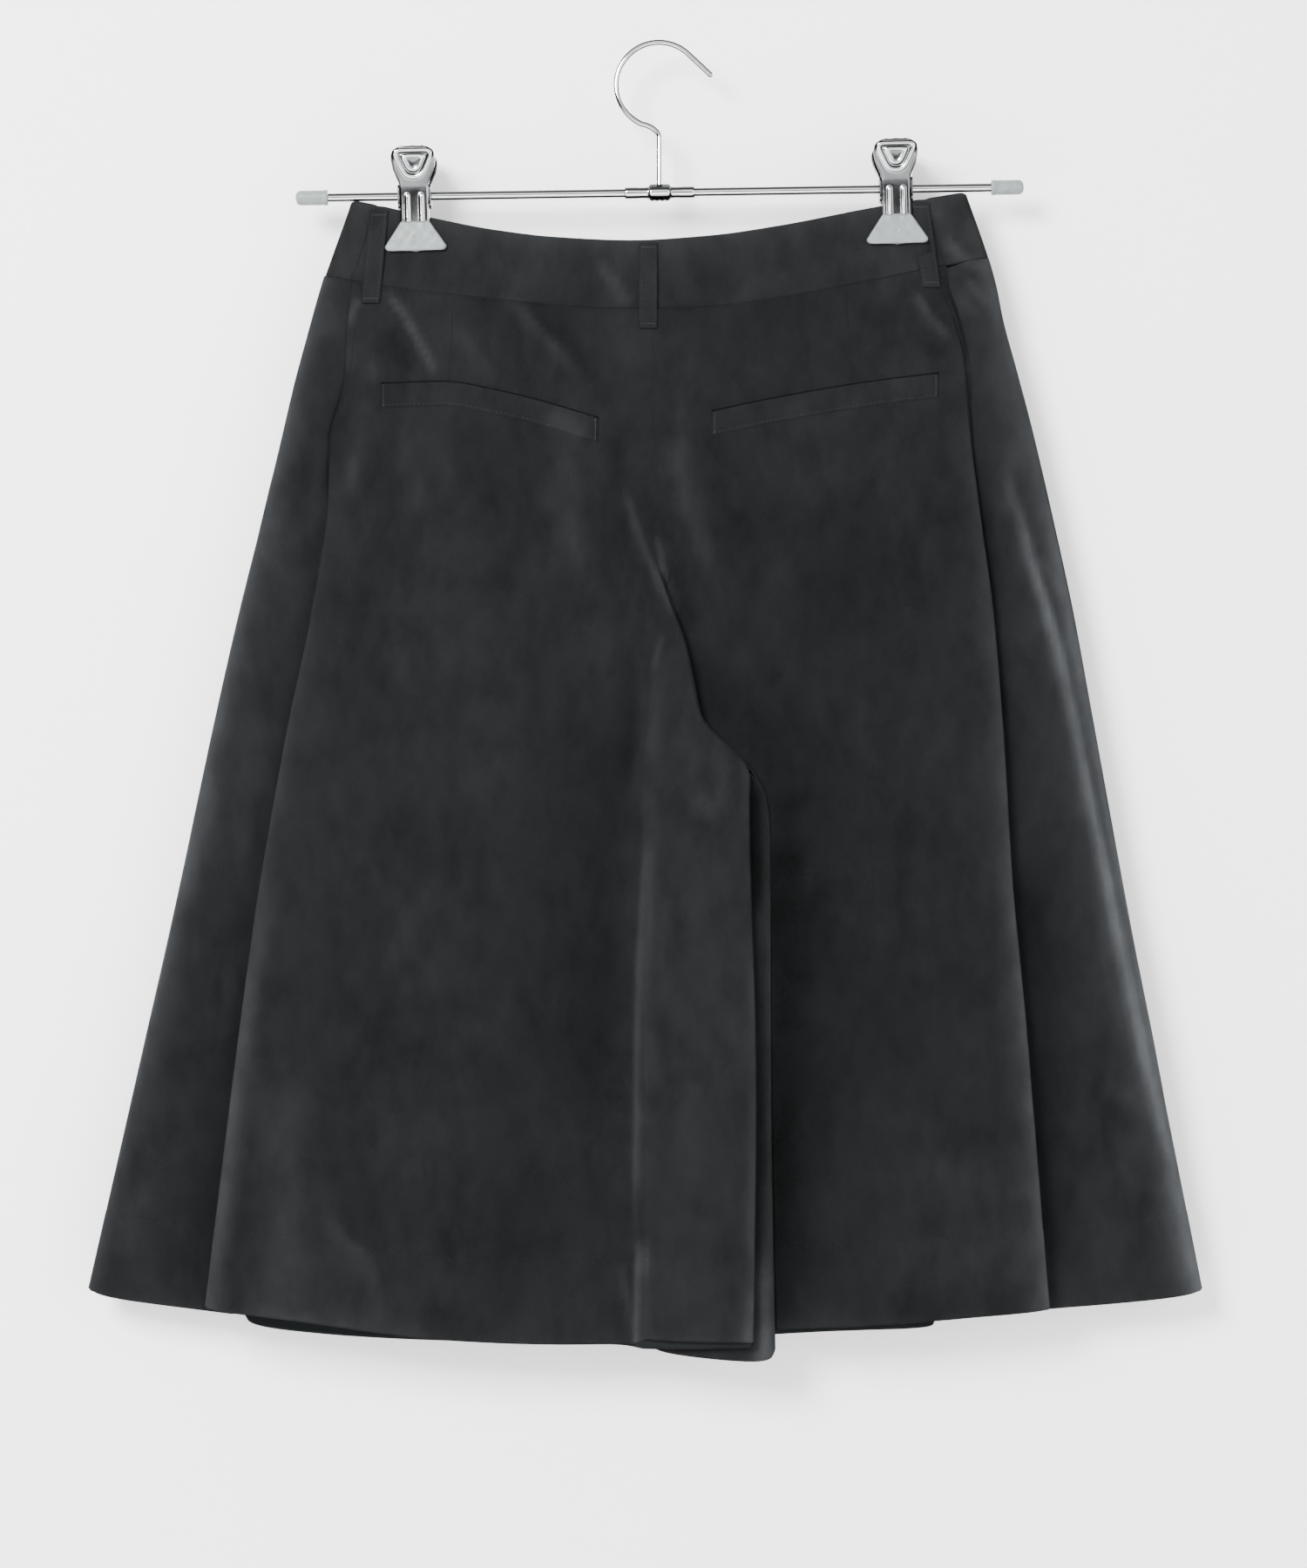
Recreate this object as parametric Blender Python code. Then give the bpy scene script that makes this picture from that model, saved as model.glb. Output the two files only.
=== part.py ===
"""Culottes hanging from a two-clip hanger, seen from the back at -Y.

Every length in the tables is in millimetres. A level is a distance down from the inner crown of the
hook, which is the origin, and a depth is a distance in +Y, away from the back of the garment.
"""

import math

import bmesh
import bpy
import numpy as np
from mathutils import Vector

MM = 0.001

CLOTH = 1.2  # wall of a single layer of the panels
BAND_CLOTH = 2.0  # the waistband is two layers sewn together
STRIP_CLOTH = 1.0  # belt loops and pocket welts
SEAM_GAP = 0.3  # between pieces that are sewn to each other
SEAM_STEP = SEAM_GAP / 2
TURNED_STEP = 0.35  # each side of a seam whose edges are turned towards each other
FRONT_TURNED_STEP = 0.8
ROLLING_STEP = 0.6  # more room for a seam where it starts to roll over
BAND_GAP = 0.5  # between the waistband and the panels

# The side folds by level. edge: outer edge of the leg. fold, turn, sink: the back panel's lengthwise
# fold, how far it turns back under itself and how deep its valley lies. front_fold, front_turn and
# front_sink: the same on the front panel.
SIDE_COLUMNS = "level edge fold turn sink front_fold front_turn front_sink"
LEFT_SIDE = (
    (84, -169.5, -157.0, -5.0, 0.4, -132.0, -6.0, 0.4),
    (132, -185.6, -162.0, -4.0, 0.4, -138.0, -6.0, 0.4),
    (160, -193.5, -166.5, -2.5, 2.0, -141.0, -6.0, 0.5),
    (186, -200.5, -170.0, 0.0, 3.2, -145.0, -5.0, 0.8),
    (220, -208.5, -180.0, 2.0, 4.0, -150.0, -3.0, 1.5),
    (260, -218.0, -182.0, 4.0, 4.8, -157.0, 0.0, 3.0),
    (312, -231.0, -190.0, 8.0, 5.6, -168.0, 3.0, 4.0),
    (374, -245.0, -203.0, 11.0, 6.6, -180.0, 6.0, 5.0),
    (473, -266.0, -220.0, 14.0, 8.4, -198.0, 10.0, 6.5),
    (555, -284.5, -231.0, 17.0, 10.2, -211.0, 13.0, 7.5),
    (692, -315.6, -247.3, 21.0, 13.0, -229.0, 17.0, 9.0),
    (730, -324.3, -251.5, 22.0, 13.6, -234.0, 18.0, 9.4),
)
RIGHT_SIDE = (
    (82, 168.5, 146.0, -5.0, 0.4, 112.0, -6.0, 0.4),
    (130, 184.2, 151.5, -4.0, 0.4, 115.0, -6.0, 0.4),
    (153, 189.0, 160.0, -2.5, 2.0, 117.0, -6.0, 0.5),
    (178, 195.8, 167.0, 0.0, 3.2, 119.0, -5.0, 0.8),
    (209, 204.0, 169.5, 2.0, 4.0, 122.0, -3.0, 1.5),
    (263, 216.6, 176.0, 4.0, 4.8, 127.0, 0.0, 3.0),
    (312, 227.2, 182.5, 8.0, 5.6, 131.0, 3.0, 4.0),
    (374, 238.6, 187.5, 11.0, 6.6, 135.0, 6.0, 5.0),
    (464, 255.0, 193.0, 14.0, 8.4, 140.0, 10.0, 6.5),
    (531, 267.8, 199.3, 17.0, 10.2, 144.0, 13.0, 7.5),
    (692, 299.5, 212.2, 21.0, 13.0, 152.5, 17.0, 9.0),
    (730, 307.0, 215.5, 22.0, 13.6, 154.5, 18.0, 9.4),
)

# The fork by level, where both layers lie folded over each other in a Z towards the right. seam and
# right_seam: the seat seam, then each leg's inseam. inset: how far the front seam lies inside the
# back one. near and layer: depth of the nearest layer, and from one layer to the next. crest: where
# the left panel rides up onto the folded layers. step: by how much. fold and front_fold: from 0,
# flat, to 1, folded. split: from 0, back joined to back, to 1, each leg closed by its own inseam.
FORK_COLUMNS = "level seam right_seam inset near layer crest step fold front_fold split"
FORK = (
    (84, -3.4, -3.4, 0.0, -8.0, 2.2, -9.0, 0.0, 0.0, 0.0, 0.0),
    (200, -3.4, -3.4, 0.0, -13.0, 2.2, -9.0, 0.0, 0.0, 0.0, 0.0),
    (276, -3.0, -3.0, 0.0, -16.0, 2.3, -9.0, 0.0, 0.0, 0.0, 0.0),
    (305, 4.6, 4.6, 9.0, -18.0, 2.3, -7.0, 0.0, 0.8, 0.1, 0.0),
    (330, 13.8, 13.8, 12.6, -20.0, 2.5, -3.0, 1.0, 1.0, 0.9, 0.0),
    (350, 18.2, 18.2, 5.0, -21.2, 2.7, -2.0, 2.6, 1.0, 1.0, 0.0),
    (370, 22.6, 22.6, 4.2, -22.3, 2.8, -2.4, 4.0, 1.0, 1.0, 0.0),
    (385, 35.6, 35.6, 3.8, -23.1, 2.9, -3.0, 5.0, 1.0, 1.0, 0.0),
    (396, 46.6, 47.0, 3.4, -23.7, 2.9, -3.2, 5.4, 1.0, 1.0, 0.0),
    (404, 49.0, 53.0, 1.6, -24.1, 2.9, -3.4, 5.6, 1.0, 1.0, 0.5),
    (414, 48.4, 58.0, 0.0, -24.4, 3.0, -3.6, 5.8, 1.0, 1.0, 1.0),
    (436, 48.6, 60.0, 0.0, -25.0, 3.1, -4.2, 6.2, 1.0, 1.0, 1.0),
    (570, 52.0, 60.4, 0.0, -28.0, 3.8, -7.1, 7.0, 1.0, 1.0, 1.0),
    (730, 50.0, 62.6, 0.0, -31.0, 4.6, -7.1, 7.4, 1.0, 1.0, 1.0),
)

FLAT_TURN = -5.0  # the turn at which a side fold is quite open, at the back and at the front
FRONT_FLAT_TURN = -6.0
SHUT_TURN = 2.0  # and the turn at which it is shut
FOLD_SHOULDER = 8.0  # where a panel starts to bend into its fold
FOLD_ROUND = 1.5  # how round a shut fold is, front to back
FRONT_FOLD_ROUND = 1.4
FOLD_SPREAD = 1.6  # how far an open fold's far side reaches
FRONT_FOLD_SPREAD = 1.2
VALLEY_ROUND = 0.9
VALLEY_SHIFT = 0.5
SEAM_REACH = 3.0  # from a fold's valley to the side seam
SEAM_ROLL = 0.6
WING_SHOULDER = 5.0  # where the outer part starts to bend round the leg's edge
EDGE_ROUND = 1.6
CORNER = 5.0  # a folded flap's corner, at most this share of the flap
CORNER_SHARE = 0.3
CREST_ROUND = 1.6
FOOT_REACH = 6.4  # from the crest to where the panel lies flat again
FOOT_OUT_REACH = 13.0
FLAP_STEP = 1.9  # spacing of the fork's lines where the cloth is still flat
FRONT_FLAP_STEP = 2.4
FLAP_FOOT = 7.0
VALLEY_REACH = 6.0  # how far past the crest the right panel's fork valley lies
FRONT_VALLEY_REACH = 2.6
PIT_REACH = {"left": 15.0, "right": 12.0}
WALL_REACH = 7.8
WALL_TOP_REACH = 3.2

# Depth of the hanging cloth by level: the back panels between fork and fold, the back and front
# layers of the outer part, and the front panels between fold and fork.
DEPTH_COLUMNS = "level inner middle outer fold wing front_wing front_fold front_middle front_inner pit"
LEFT_DEPTH = (
    (84, -6.5, -2.6, -1.8, -2.4, -2.0, 2.0, 1.8, 3.0, 7.0, 8.0),
    (140, -8.6, -5.6, -4.2, -3.6, -3.0, 3.0, 4.0, 5.6, 8.0, 9.0),
    (200, -13.0, -12.0, -9.5, -7.0, -3.4, 5.0, 8.0, 11.0, 12.0, 11.0),
    (282, -17.0, -17.0, -14.0, -10.0, -4.0, 6.0, 12.0, 16.0, 14.0, 10.0),
    (330, -18.6, -19.0, -16.0, -11.6, -4.4, 6.4, 14.0, 17.5, 12.0, 0.0),
    (402, -20.0, -22.0, -19.0, -14.0, -5.0, 7.0, 16.0, 19.0, 9.0, -8.0),
    (570, -24.0, -26.0, -23.0, -19.0, -6.0, 9.0, 19.0, 21.0, 9.0, -9.0),
    (730, -27.0, -29.5, -27.5, -24.5, -7.0, 11.0, 22.0, 23.0, 9.0, -9.0),
)
RIGHT_DEPTH = (
    (84, -6.5, -2.6, -1.8, -2.4, -2.0, 2.0, 1.8, 3.0, 7.0, 8.0),
    (140, -8.0, -5.6, -4.2, -3.6, -3.0, 3.0, 4.0, 5.6, 8.0, 9.0),
    (200, -13.0, -12.0, -9.5, -7.0, -3.4, 5.0, 8.0, 11.0, 12.0, 11.0),
    (282, -16.0, -17.0, -14.0, -10.0, -4.0, 6.0, 12.0, 16.0, 14.0, 10.0),
    (330, -15.0, -19.0, -16.0, -11.6, -4.4, 6.4, 14.0, 17.5, 12.0, 0.0),
    (402, -15.5, -22.0, -19.0, -14.0, -5.0, 7.0, 16.0, 19.0, 9.0, -6.0),
    (570, -17.0, -24.0, -22.0, -18.0, -6.0, 9.0, 19.0, 21.0, 9.0, -6.0),
    (730, -17.0, -25.5, -25.0, -22.5, -7.0, 11.0, 22.0, 23.0, 10.0, -5.0),
)

# Upper edge of the waistband and its lower seam at the back, across the garment.
BAND_TOP = ((-190, 84.0), (-169, 86.5), (-123, 96.5), (-91, 102.7), (-59, 107.0), (-15, 109.3),
            (27, 106.6), (60, 101.8), (113, 91.2), (168, 82.0), (190, 79.0))  # fmt: skip
BAND_SEAM = ((-192, 126.0), (-164, 131.6), (-135, 136.0), (-86, 141.6), (-25, 147.0), (6, 147.0),
             (78, 138.0), (142, 125.3), (156, 122.4), (192, 115.0))  # fmt: skip
WAIST_LEVEL = 140.0  # of the waist seam, roughly
FRONT_DIP = 12.0  # how much lower the front waist is at its middle
FRONT_REACH = 170.0

# Levels of the hem at some lines of each panel; it runs evenly between them.
HEMS = {
    "back_left": dict(seam=709.4, strip=708.6, crest=707.2, foot=711.0, inner=711.0, middle=706.5,
                      outer=697.0, fold=690.6, side_seam=694.0),
    "back_right": dict(seam=714.0, flap_edge=718.0, flap=716.0, fork_fold=711.0, foot=704.4,
                       inner=704.0, middle=700.6, outer=696.0, fold=692.2, side_seam=694.5),
    "front_left": dict(side_seam=697.0, wing=691.0, edge=683.3, front_wing=690.0, front_fold=704.0,
                       middle=716.0, inner=715.0, pit=713.0, strip=713.0, seam=711.0),
    "front_right": dict(side_seam=695.6, wing=690.6, edge=683.6, front_wing=690.0,
                        front_fold=707.6, middle=711.0, inner=711.6, pit=711.0, fork_fold=712.4,
                        flap=719.6, flap_edge=721.6, seam=714.2),
}  # fmt: skip

# Rows of the panels, as shares of the way from waist seam to hem; close together at the fork.
PANEL_ROWS = (0.0, 0.045, 0.09, 0.145, 0.2, 0.25, 0.285, 0.315, 0.345, 0.375, 0.402, 0.425, 0.445,
              0.462, 0.48, 0.51, 0.57, 0.66, 0.77, 0.885, 1.0)  # fmt: skip
BAND_ROWS = (0.0, 0.34, 0.67, 1.0)
BAND_COLUMNS = 19
BAND_BACK_COLUMNS = 4  # of a front band, behind its outer edge and before it
BAND_FRONT_COLUMNS = 17

# Lines of the panels that lie on a plain stretch, where fewer columns will do
PLAIN_LINES = ("foot_out", "foot", "inner", "middle", "outer", "fold_shoulder", "strip_edge",
               "strip", "strip_crest", "flap", "flap_edge", "flap_root", "wing_root", "wing",
               "edge_shoulder", "edge_far", "front_wing", "front_valley_in", "front_shoulder",
               "pit")  # fmt: skip

CENTRE_SEAM = -3.4
CLIP_SPOTS = {"left": -134.8, "right": 129.9}
BAND_SIDE_SEAMS = {"left": -155.2, "right": 145.6}
BAND_EDGES = {"left": -168.9, "right": 167.9}
EDGE_TURN = 2.4
BAND_FLARE = 0.36  # how far the band leans outwards at the sides, per length down
BAND_BULGE = {-1: 7.6, 1: 8.0}  # depth at the middle, at the back and at the front
PAD_LEVEL = 116.0
BAND_FOOT_LEVEL = 146.0
# Across the band: its depth as a share of the bulge, at the grips' level and at the waist seam
BAND_DEPTH = ((-190, 0.29, 0.4), (-167, 0.26, 0.42), (-153, 0.2, 0.48), (-108, 0.2, 0.66),
              (-60, 0.68, 1.05), (-6, 1.0, 1.16), (56, 0.68, 1.05), (102, 0.2, 0.66),
              (150, 0.2, 0.48), (164, 0.26, 0.42), (190, 0.29, 0.4))  # fmt: skip
LAP = 16.0  # how far each front band passes the middle
LAP_RAMP = 12.0
LAP_LIFT = 2.5

LOOP_WIDTH = 9.6
LOOP_STAND = 1.4  # how far a belt loop stands off at its middle
LOOP_ROWS = 7
# across and level of a belt loop's upper and lower end
BACK_LOOPS = {
    "belt_loop_back": (-6.2, 110.6, -6.4, 157.4),
    "belt_loop_side_left": (-154.2, 92.0, -158.8, 142.6),
    "belt_loop_side_right": (143.2, 87.6, 149.4, 133.8),
}
FRONT_LOOPS = {
    "belt_loop_front_left": (-78.0, 115.0, -80.0, 161.0),
    "belt_loop_front_right": (76.0, 110.0, 78.0, 156.0),
}

WELT_HEIGHT = 13.0
WELT_COLUMNS = 10
WELT_GAP = 0.4
# across and level along the upper edge of each pocket welt
WELT_EDGES = {
    "left": ((-153.0, 187.8), (-119.0, 187.0), (-87.0, 192.4), (-65.0, 197.8), (-33.6, 207.2)),
    "right": ((28.4, 203.6), (62.0, 196.4), (109.0, 188.0), (153.0, 182.0)),
}

BUTTON_RADIUS = 7.5
BUTTON_SIDES = 20
BUTTON_THICKNESS = 3.0
BUTTON_CHAMFER = 1.0
BUTTON_ROUND = 0.6
BUTTON_RIM = 2.0
BUTTON_DISH = 0.7
BUTTON_LEVEL = 140.0
BUTTON_GAP = 0.6

HOOK_WIRE = 3.0
HOOK_CENTRE = (-0.4, -22.0)
HOOK_RADIUS = 23.5
HOOK_TIP_ANGLE = 40.0
HOOK_FOOT_ANGLE = 246.0
HOOK_TIP = 9.0
HOOK_STEPS = 26
BEND_STEPS = 5
STEM_X = -0.2
STEM_TOP = -51.0

ROUND_SIDES = 12
BAR_RADIUS = 2.25
BORE = BAR_RADIUS + SEAM_GAP
BAR_LEVEL = 81.3
BAR_TILT = 0.87  # degrees, the right end higher
BAR_HALF = 192.0
JOINT_RADIUS = 3.1
JOINT_HALF = 19.2
COLLAR_HALF = 5.8
COLLAR_RADIUS = 4.7
CAP_RADIUS = 4.2
CAP_LENGTH = 18.0
CAP_START = 182.5
CAP_LIP = 0.4
CAP_TIP = 2.0

# A clip's lever: height above the bar's axis, half width, and depth of the plate's middle
LEVER = (
    (25.6, 5.5, 11.6),
    (24.6, 9.0, 11.4),
    (22.6, 11.2, 11.0),
    (19.4, 11.8, 10.2),
    (14.6, 11.2, 9.0),
    (10.4, 9.6, 7.9),
    (7.0, 8.2, 6.9),
    (4.0, 7.7, 6.0),
    (0.0, 7.7, 5.3),
    (-7.0, 7.7, 4.7),
    (-14.6, 7.7, 4.3),
)
LEVER_PLATE = 0.9
EAR_X = 8.7
EAR_FRONT = -5.6
EAR_TOP = 6.0
EAR_BOTTOM = -7.0
EAR_ROOT = 5.6
EAR_LOW_CUT = 2.0
EAR_TOP_CUT = 3.0
SPRING_RADIUS = 4.5
SPRING_HALF = 6.8
PAD_TOP = -14.9
PAD_BOTTOM = -30.4
PAD_TOP_HALF = 7.8
PAD_HALF = 16.6
PAD_INNER = 2.9
PAD_OUTER = 5.5
PAD_CORNER = 2.4
PAD_CORNER_STEPS = 5
GRIP_CLEARANCE = 2.4
GRIP_MARGIN = 4.0  # above and below a grip, for what lies beside it
CLIP_LEAN = 0.7


def table(columns, rows):
    """Columns of a table by name."""
    return dict(zip(columns.split(), np.array(rows, float).T))


SIDES = {"left": table(SIDE_COLUMNS, LEFT_SIDE), "right": table(SIDE_COLUMNS, RIGHT_SIDE)}
DEPTHS = {"left": table(DEPTH_COLUMNS, LEFT_DEPTH), "right": table(DEPTH_COLUMNS, RIGHT_DEPTH)}
FORKS = table(FORK_COLUMNS, FORK)
OUTWARD = {"left": -1.0, "right": 1.0}


def smooth(at, known, values):
    """A smooth curve through known points that never overshoots them."""
    known = np.asarray(known, float)
    values = np.asarray(values, float)
    step = np.diff(known)
    slope = np.diff(values) / step
    tangent = np.zeros(len(known))
    same_way = slope[:-1] * slope[1:] > 0
    before = np.where(same_way, slope[:-1], 1.0)
    after = np.where(same_way, slope[1:], 1.0)
    tangent[1:-1] = np.where(same_way, 2 * before * after / (before + after), 0.0)
    tangent[0] = slope[0]
    tangent[-1] = slope[-1]
    at = np.clip(at, known[0], known[-1])
    i = np.clip(np.searchsorted(known, at) - 1, 0, len(step) - 1)
    t = (at - known[i]) / step[i]
    start = values[i] * (1 + 2 * t) * (1 - t) ** 2 + tangent[i] * step[i] * t * (1 - t) ** 2
    end = values[i + 1] * t**2 * (3 - 2 * t) + tangent[i + 1] * step[i] * t**2 * (t - 1)
    return start + end


def read(columns, name, level):
    return smooth(level, columns["level"], columns[name])


def across(points, x):
    known, values = zip(*points)
    return smooth(x, known, values)


def front_dip(x):
    return FRONT_DIP * np.clip(1 - (x / FRONT_REACH) ** 2, 0, 1)


def blend(a, b, share):
    return a + (b - a) * share


def spline_weights(names, plain):
    """Rows of cubic B-spline weights on the control points; the curve starts and ends on them.

    A span between two plain lines is one step long, and every other span is two.
    """
    places = [0.0]
    for span in range(len(names) - 1):
        steps = 1 if names[span] in plain and names[span + 1] in plain else 2
        for step in range(1, steps + 1):
            places.append(span + step / steps)
    count = len(names)
    weights = np.zeros((len(places), count))
    for row, place in enumerate(places):
        span = min(int(place), count - 2)
        t = place - span
        basis = (
            (1 - t) ** 3 / 6,
            (3 * t**3 - 6 * t**2 + 4) / 6,
            (-3 * t**3 + 3 * t**2 + 3 * t + 1) / 6,
            t**3 / 6,
        )
        for offset, weight in zip((-1, 0, 1, 2), basis):
            index = span + offset
            if index < 0:  # a point mirrored in the first one
                weights[row, 0] += 2 * weight
                weights[row, 1] -= weight
            elif index >= count:
                weights[row, count - 1] += 2 * weight
                weights[row, count - 2] -= weight
            else:
                weights[row, index] += weight
    return weights


def shut_share(turn, flat_turn):
    """From 0, where a side fold is quite open, to 1, where it is shut."""
    return np.clip((turn - flat_turn) / (SHUT_TURN - flat_turn), 0, 1)


def corner(width):
    """How far from its edge a folded flap of some width is rounded."""
    return np.minimum(CORNER, CORNER_SHARE * width)


def side_lines(side, level):
    """The back panel's fold at the side: its control points from the panel out to the side seam."""
    columns = SIDES[side]
    out = OUTWARD[side]
    fold = read(columns, "fold", level)
    turn = read(columns, "turn", level)
    sink = read(columns, "sink", level)
    depth = read(DEPTHS[side], "fold", level)
    shut = shut_share(turn, FLAT_TURN)
    valley = fold - out * turn
    back_depth = depth + FOLD_ROUND * shut + 0.1 * sink * (1 - shut)
    return {
        "fold_shoulder": (fold - out * FOLD_SHOULDER, depth),
        "fold": (fold, depth),
        "fold_back": (fold + out * FOLD_SPREAD * (1 - shut), back_depth),
        "turn": (fold - out * 0.5 * turn, depth + 0.55 * sink + 0.5 * shut),
        "valley": (valley + out * SEAM_ROLL, depth + sink - VALLEY_ROUND * shut),
        "side_seam": (valley + out * SEAM_REACH, depth + sink),
    }


def left_back_lines(level):
    fork = {name: read(FORKS, name, level) for name in FORKS}
    depth = DEPTHS["left"]
    near = fork["near"]
    seam = fork["seam"]
    closing = blend(1.5, 0.5, fork["split"]) * fork["layer"] * fork["fold"]
    curl = fork["fold"]
    crest = fork["crest"]
    step = fork["step"]
    width = seam - crest
    fold = read(SIDES["left"], "fold", level)
    lines = {
        "seam": (seam - SEAM_STEP * (1 - curl), near + closing - TURNED_STEP * curl),
        "seam_turn": (seam - 1.2 * (1 - curl), near + 0.25 * closing),
        "strip_edge": (seam - corner(width) - 0.4 * (1 - curl), near),
        "strip": (blend(crest, seam, 0.5), near),
        "strip_crest": (crest + CREST_ROUND, near + 0.05 * step),
        "crest": (crest - 0.6, near + 0.2 * step),
        "foot": (crest - FOOT_REACH, near + step),
        "foot_out": (crest - FOOT_OUT_REACH, near + 1.08 * step),
    }
    for name, share in (("inner", 0.3), ("middle", 0.55), ("outer", 0.8)):
        lines[name] = (blend(crest, fold, share), read(depth, name, level))
    lines.update(side_lines("left", level))
    return lines


def right_back_lines(level):
    fork = {name: read(FORKS, name, level) for name in FORKS}
    depth = DEPTHS["right"]
    layer = fork["layer"]
    folded = fork["fold"]
    seam = fork["right_seam"]
    near = fork["near"]
    under = near + 3 * layer
    far = near + 4 * layer
    valley = np.minimum(fork["crest"] + VALLEY_REACH, seam - 1.0)
    width = seam - valley
    closing = near + blend(1.5, 2.5, fork["split"]) * layer
    fold = read(SIDES["right"], "fold", level)
    flap = {
        "seam": (seam, closing + TURNED_STEP),
        "seam_turn": (seam, blend(under, closing, 0.25)),
        "flap_edge": (seam - corner(width), under),
        "flap": (blend(valley, seam, 0.5), under),
        "flap_root": (valley + corner(width), under),
        "fork_fold": (valley, under),
        "fork_fold_back": (valley, far),
        "foot": (valley + FLAP_FOOT, far),
    }
    lines = {}
    rolling = ROLLING_STEP * 4 * folded * (1 - folded)
    for order, name in enumerate(flap):
        flat_x = seam + SEAM_STEP + rolling + FLAP_STEP * order
        lines[name] = (blend(flat_x, flap[name][0], folded), blend(near, flap[name][1], folded))
    for name, share in (("inner", 0.3), ("middle", 0.58), ("outer", 0.82)):
        lines[name] = (blend(valley, fold, share), read(depth, name, level))
    lines.update(side_lines("right", level))
    return lines


def wing_lines(side, level):
    """The front panel from the side seam round the leg's outer edge to its own fold."""
    columns = SIDES[side]
    depth = DEPTHS[side]
    out = OUTWARD[side]
    edge = read(columns, "edge", level)
    turn = read(columns, "turn", level)
    valley = read(columns, "fold", level) - out * turn
    seam_depth = read(depth, "fold", level) + read(columns, "sink", level)
    wing = read(depth, "wing", level)
    front_wing = read(depth, "front_wing", level)
    front_fold = read(columns, "front_fold", level)
    front_turn = read(columns, "front_turn", level)
    front_sink = read(columns, "front_sink", level)
    front_depth = read(depth, "front_fold", level)
    shut = shut_share(front_turn, FRONT_FLAT_TURN)
    front_valley = front_fold - out * front_turn
    start = valley + out * (SEAM_REACH + SEAM_GAP + SEAM_ROLL * shut_share(turn, FLAT_TURN))
    return {
        "side_seam": (start, seam_depth),
        "wing_root": (blend(start, edge, 0.3), blend(seam_depth, wing, 0.5)),
        "wing": (blend(start, edge, 0.62), wing),
        "edge_shoulder": (edge - out * WING_SHOULDER, wing + 0.8),
        "edge": (edge + out * 0.3, -EDGE_ROUND),
        "edge_back": (edge + out * 0.3, EDGE_ROUND),
        "edge_far": (edge - out * WING_SHOULDER, front_wing - 1.0),
        "front_wing": (blend(front_valley, edge, 0.5), front_wing),
        "front_valley_in": (front_valley + out * WING_SHOULDER, front_depth - front_sink),
        "front_valley": (front_valley + out * VALLEY_SHIFT, front_depth - front_sink + VALLEY_ROUND * shut),
        "front_turn": (front_fold - out * 0.5 * front_turn, front_depth - 0.55 * front_sink),
        "front_fold_back": (
            front_fold + out * FRONT_FOLD_SPREAD * (1 - shut),
            front_depth - FRONT_FOLD_ROUND * shut,
        ),
        "front_fold": (front_fold, front_depth),
        "front_shoulder": (front_fold - out * FOLD_SHOULDER, front_depth),
    }


def left_front_lines(level):
    fork = {name: read(FORKS, name, level) for name in FORKS}
    depth = DEPTHS["left"]
    layer = fork["layer"]
    folded = fork["front_fold"]
    split = fork["split"]
    seam = fork["seam"] - fork["inset"]
    crest = fork["crest"]
    plane = fork["near"] + layer
    front_fold = read(SIDES["left"], "front_fold", level)
    pit = read(depth, "pit", level)
    closing = fork["near"] + blend(1.5, 0.5, split) * layer
    turning = FRONT_TURNED_STEP * blend(-1.0, 1.0, np.clip(2 * split, 0, 1))
    width = seam - crest
    lines = wing_lines("left", level)
    lines["middle"] = (blend(front_fold, crest, 0.4), read(depth, "front_middle", level))
    lines["inner"] = (blend(front_fold, crest, 0.7), read(depth, "front_inner", level))
    strip = {
        "pit": (crest - PIT_REACH["left"], pit),
        "wall": (crest - WALL_REACH, blend(pit, plane, 0.42)),
        "wall_top": (crest - WALL_TOP_REACH, blend(pit, plane, 0.88)),
        "strip_crest": (crest + 0.6, plane),
        "strip": (blend(crest, seam, 0.5), plane),
        "strip_edge": (seam - corner(width), plane),
        "seam_turn": (seam, blend(plane, closing, 0.6)),
        "seam": (seam, closing + turning),
    }
    for order, (name, (x, y)) in enumerate(reversed(strip.items())):
        flat_x = seam - SEAM_STEP - FRONT_FLAP_STEP * order
        strip[name] = (blend(flat_x, x, folded), blend(pit, y, folded))
    lines.update(strip)
    return lines


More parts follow.
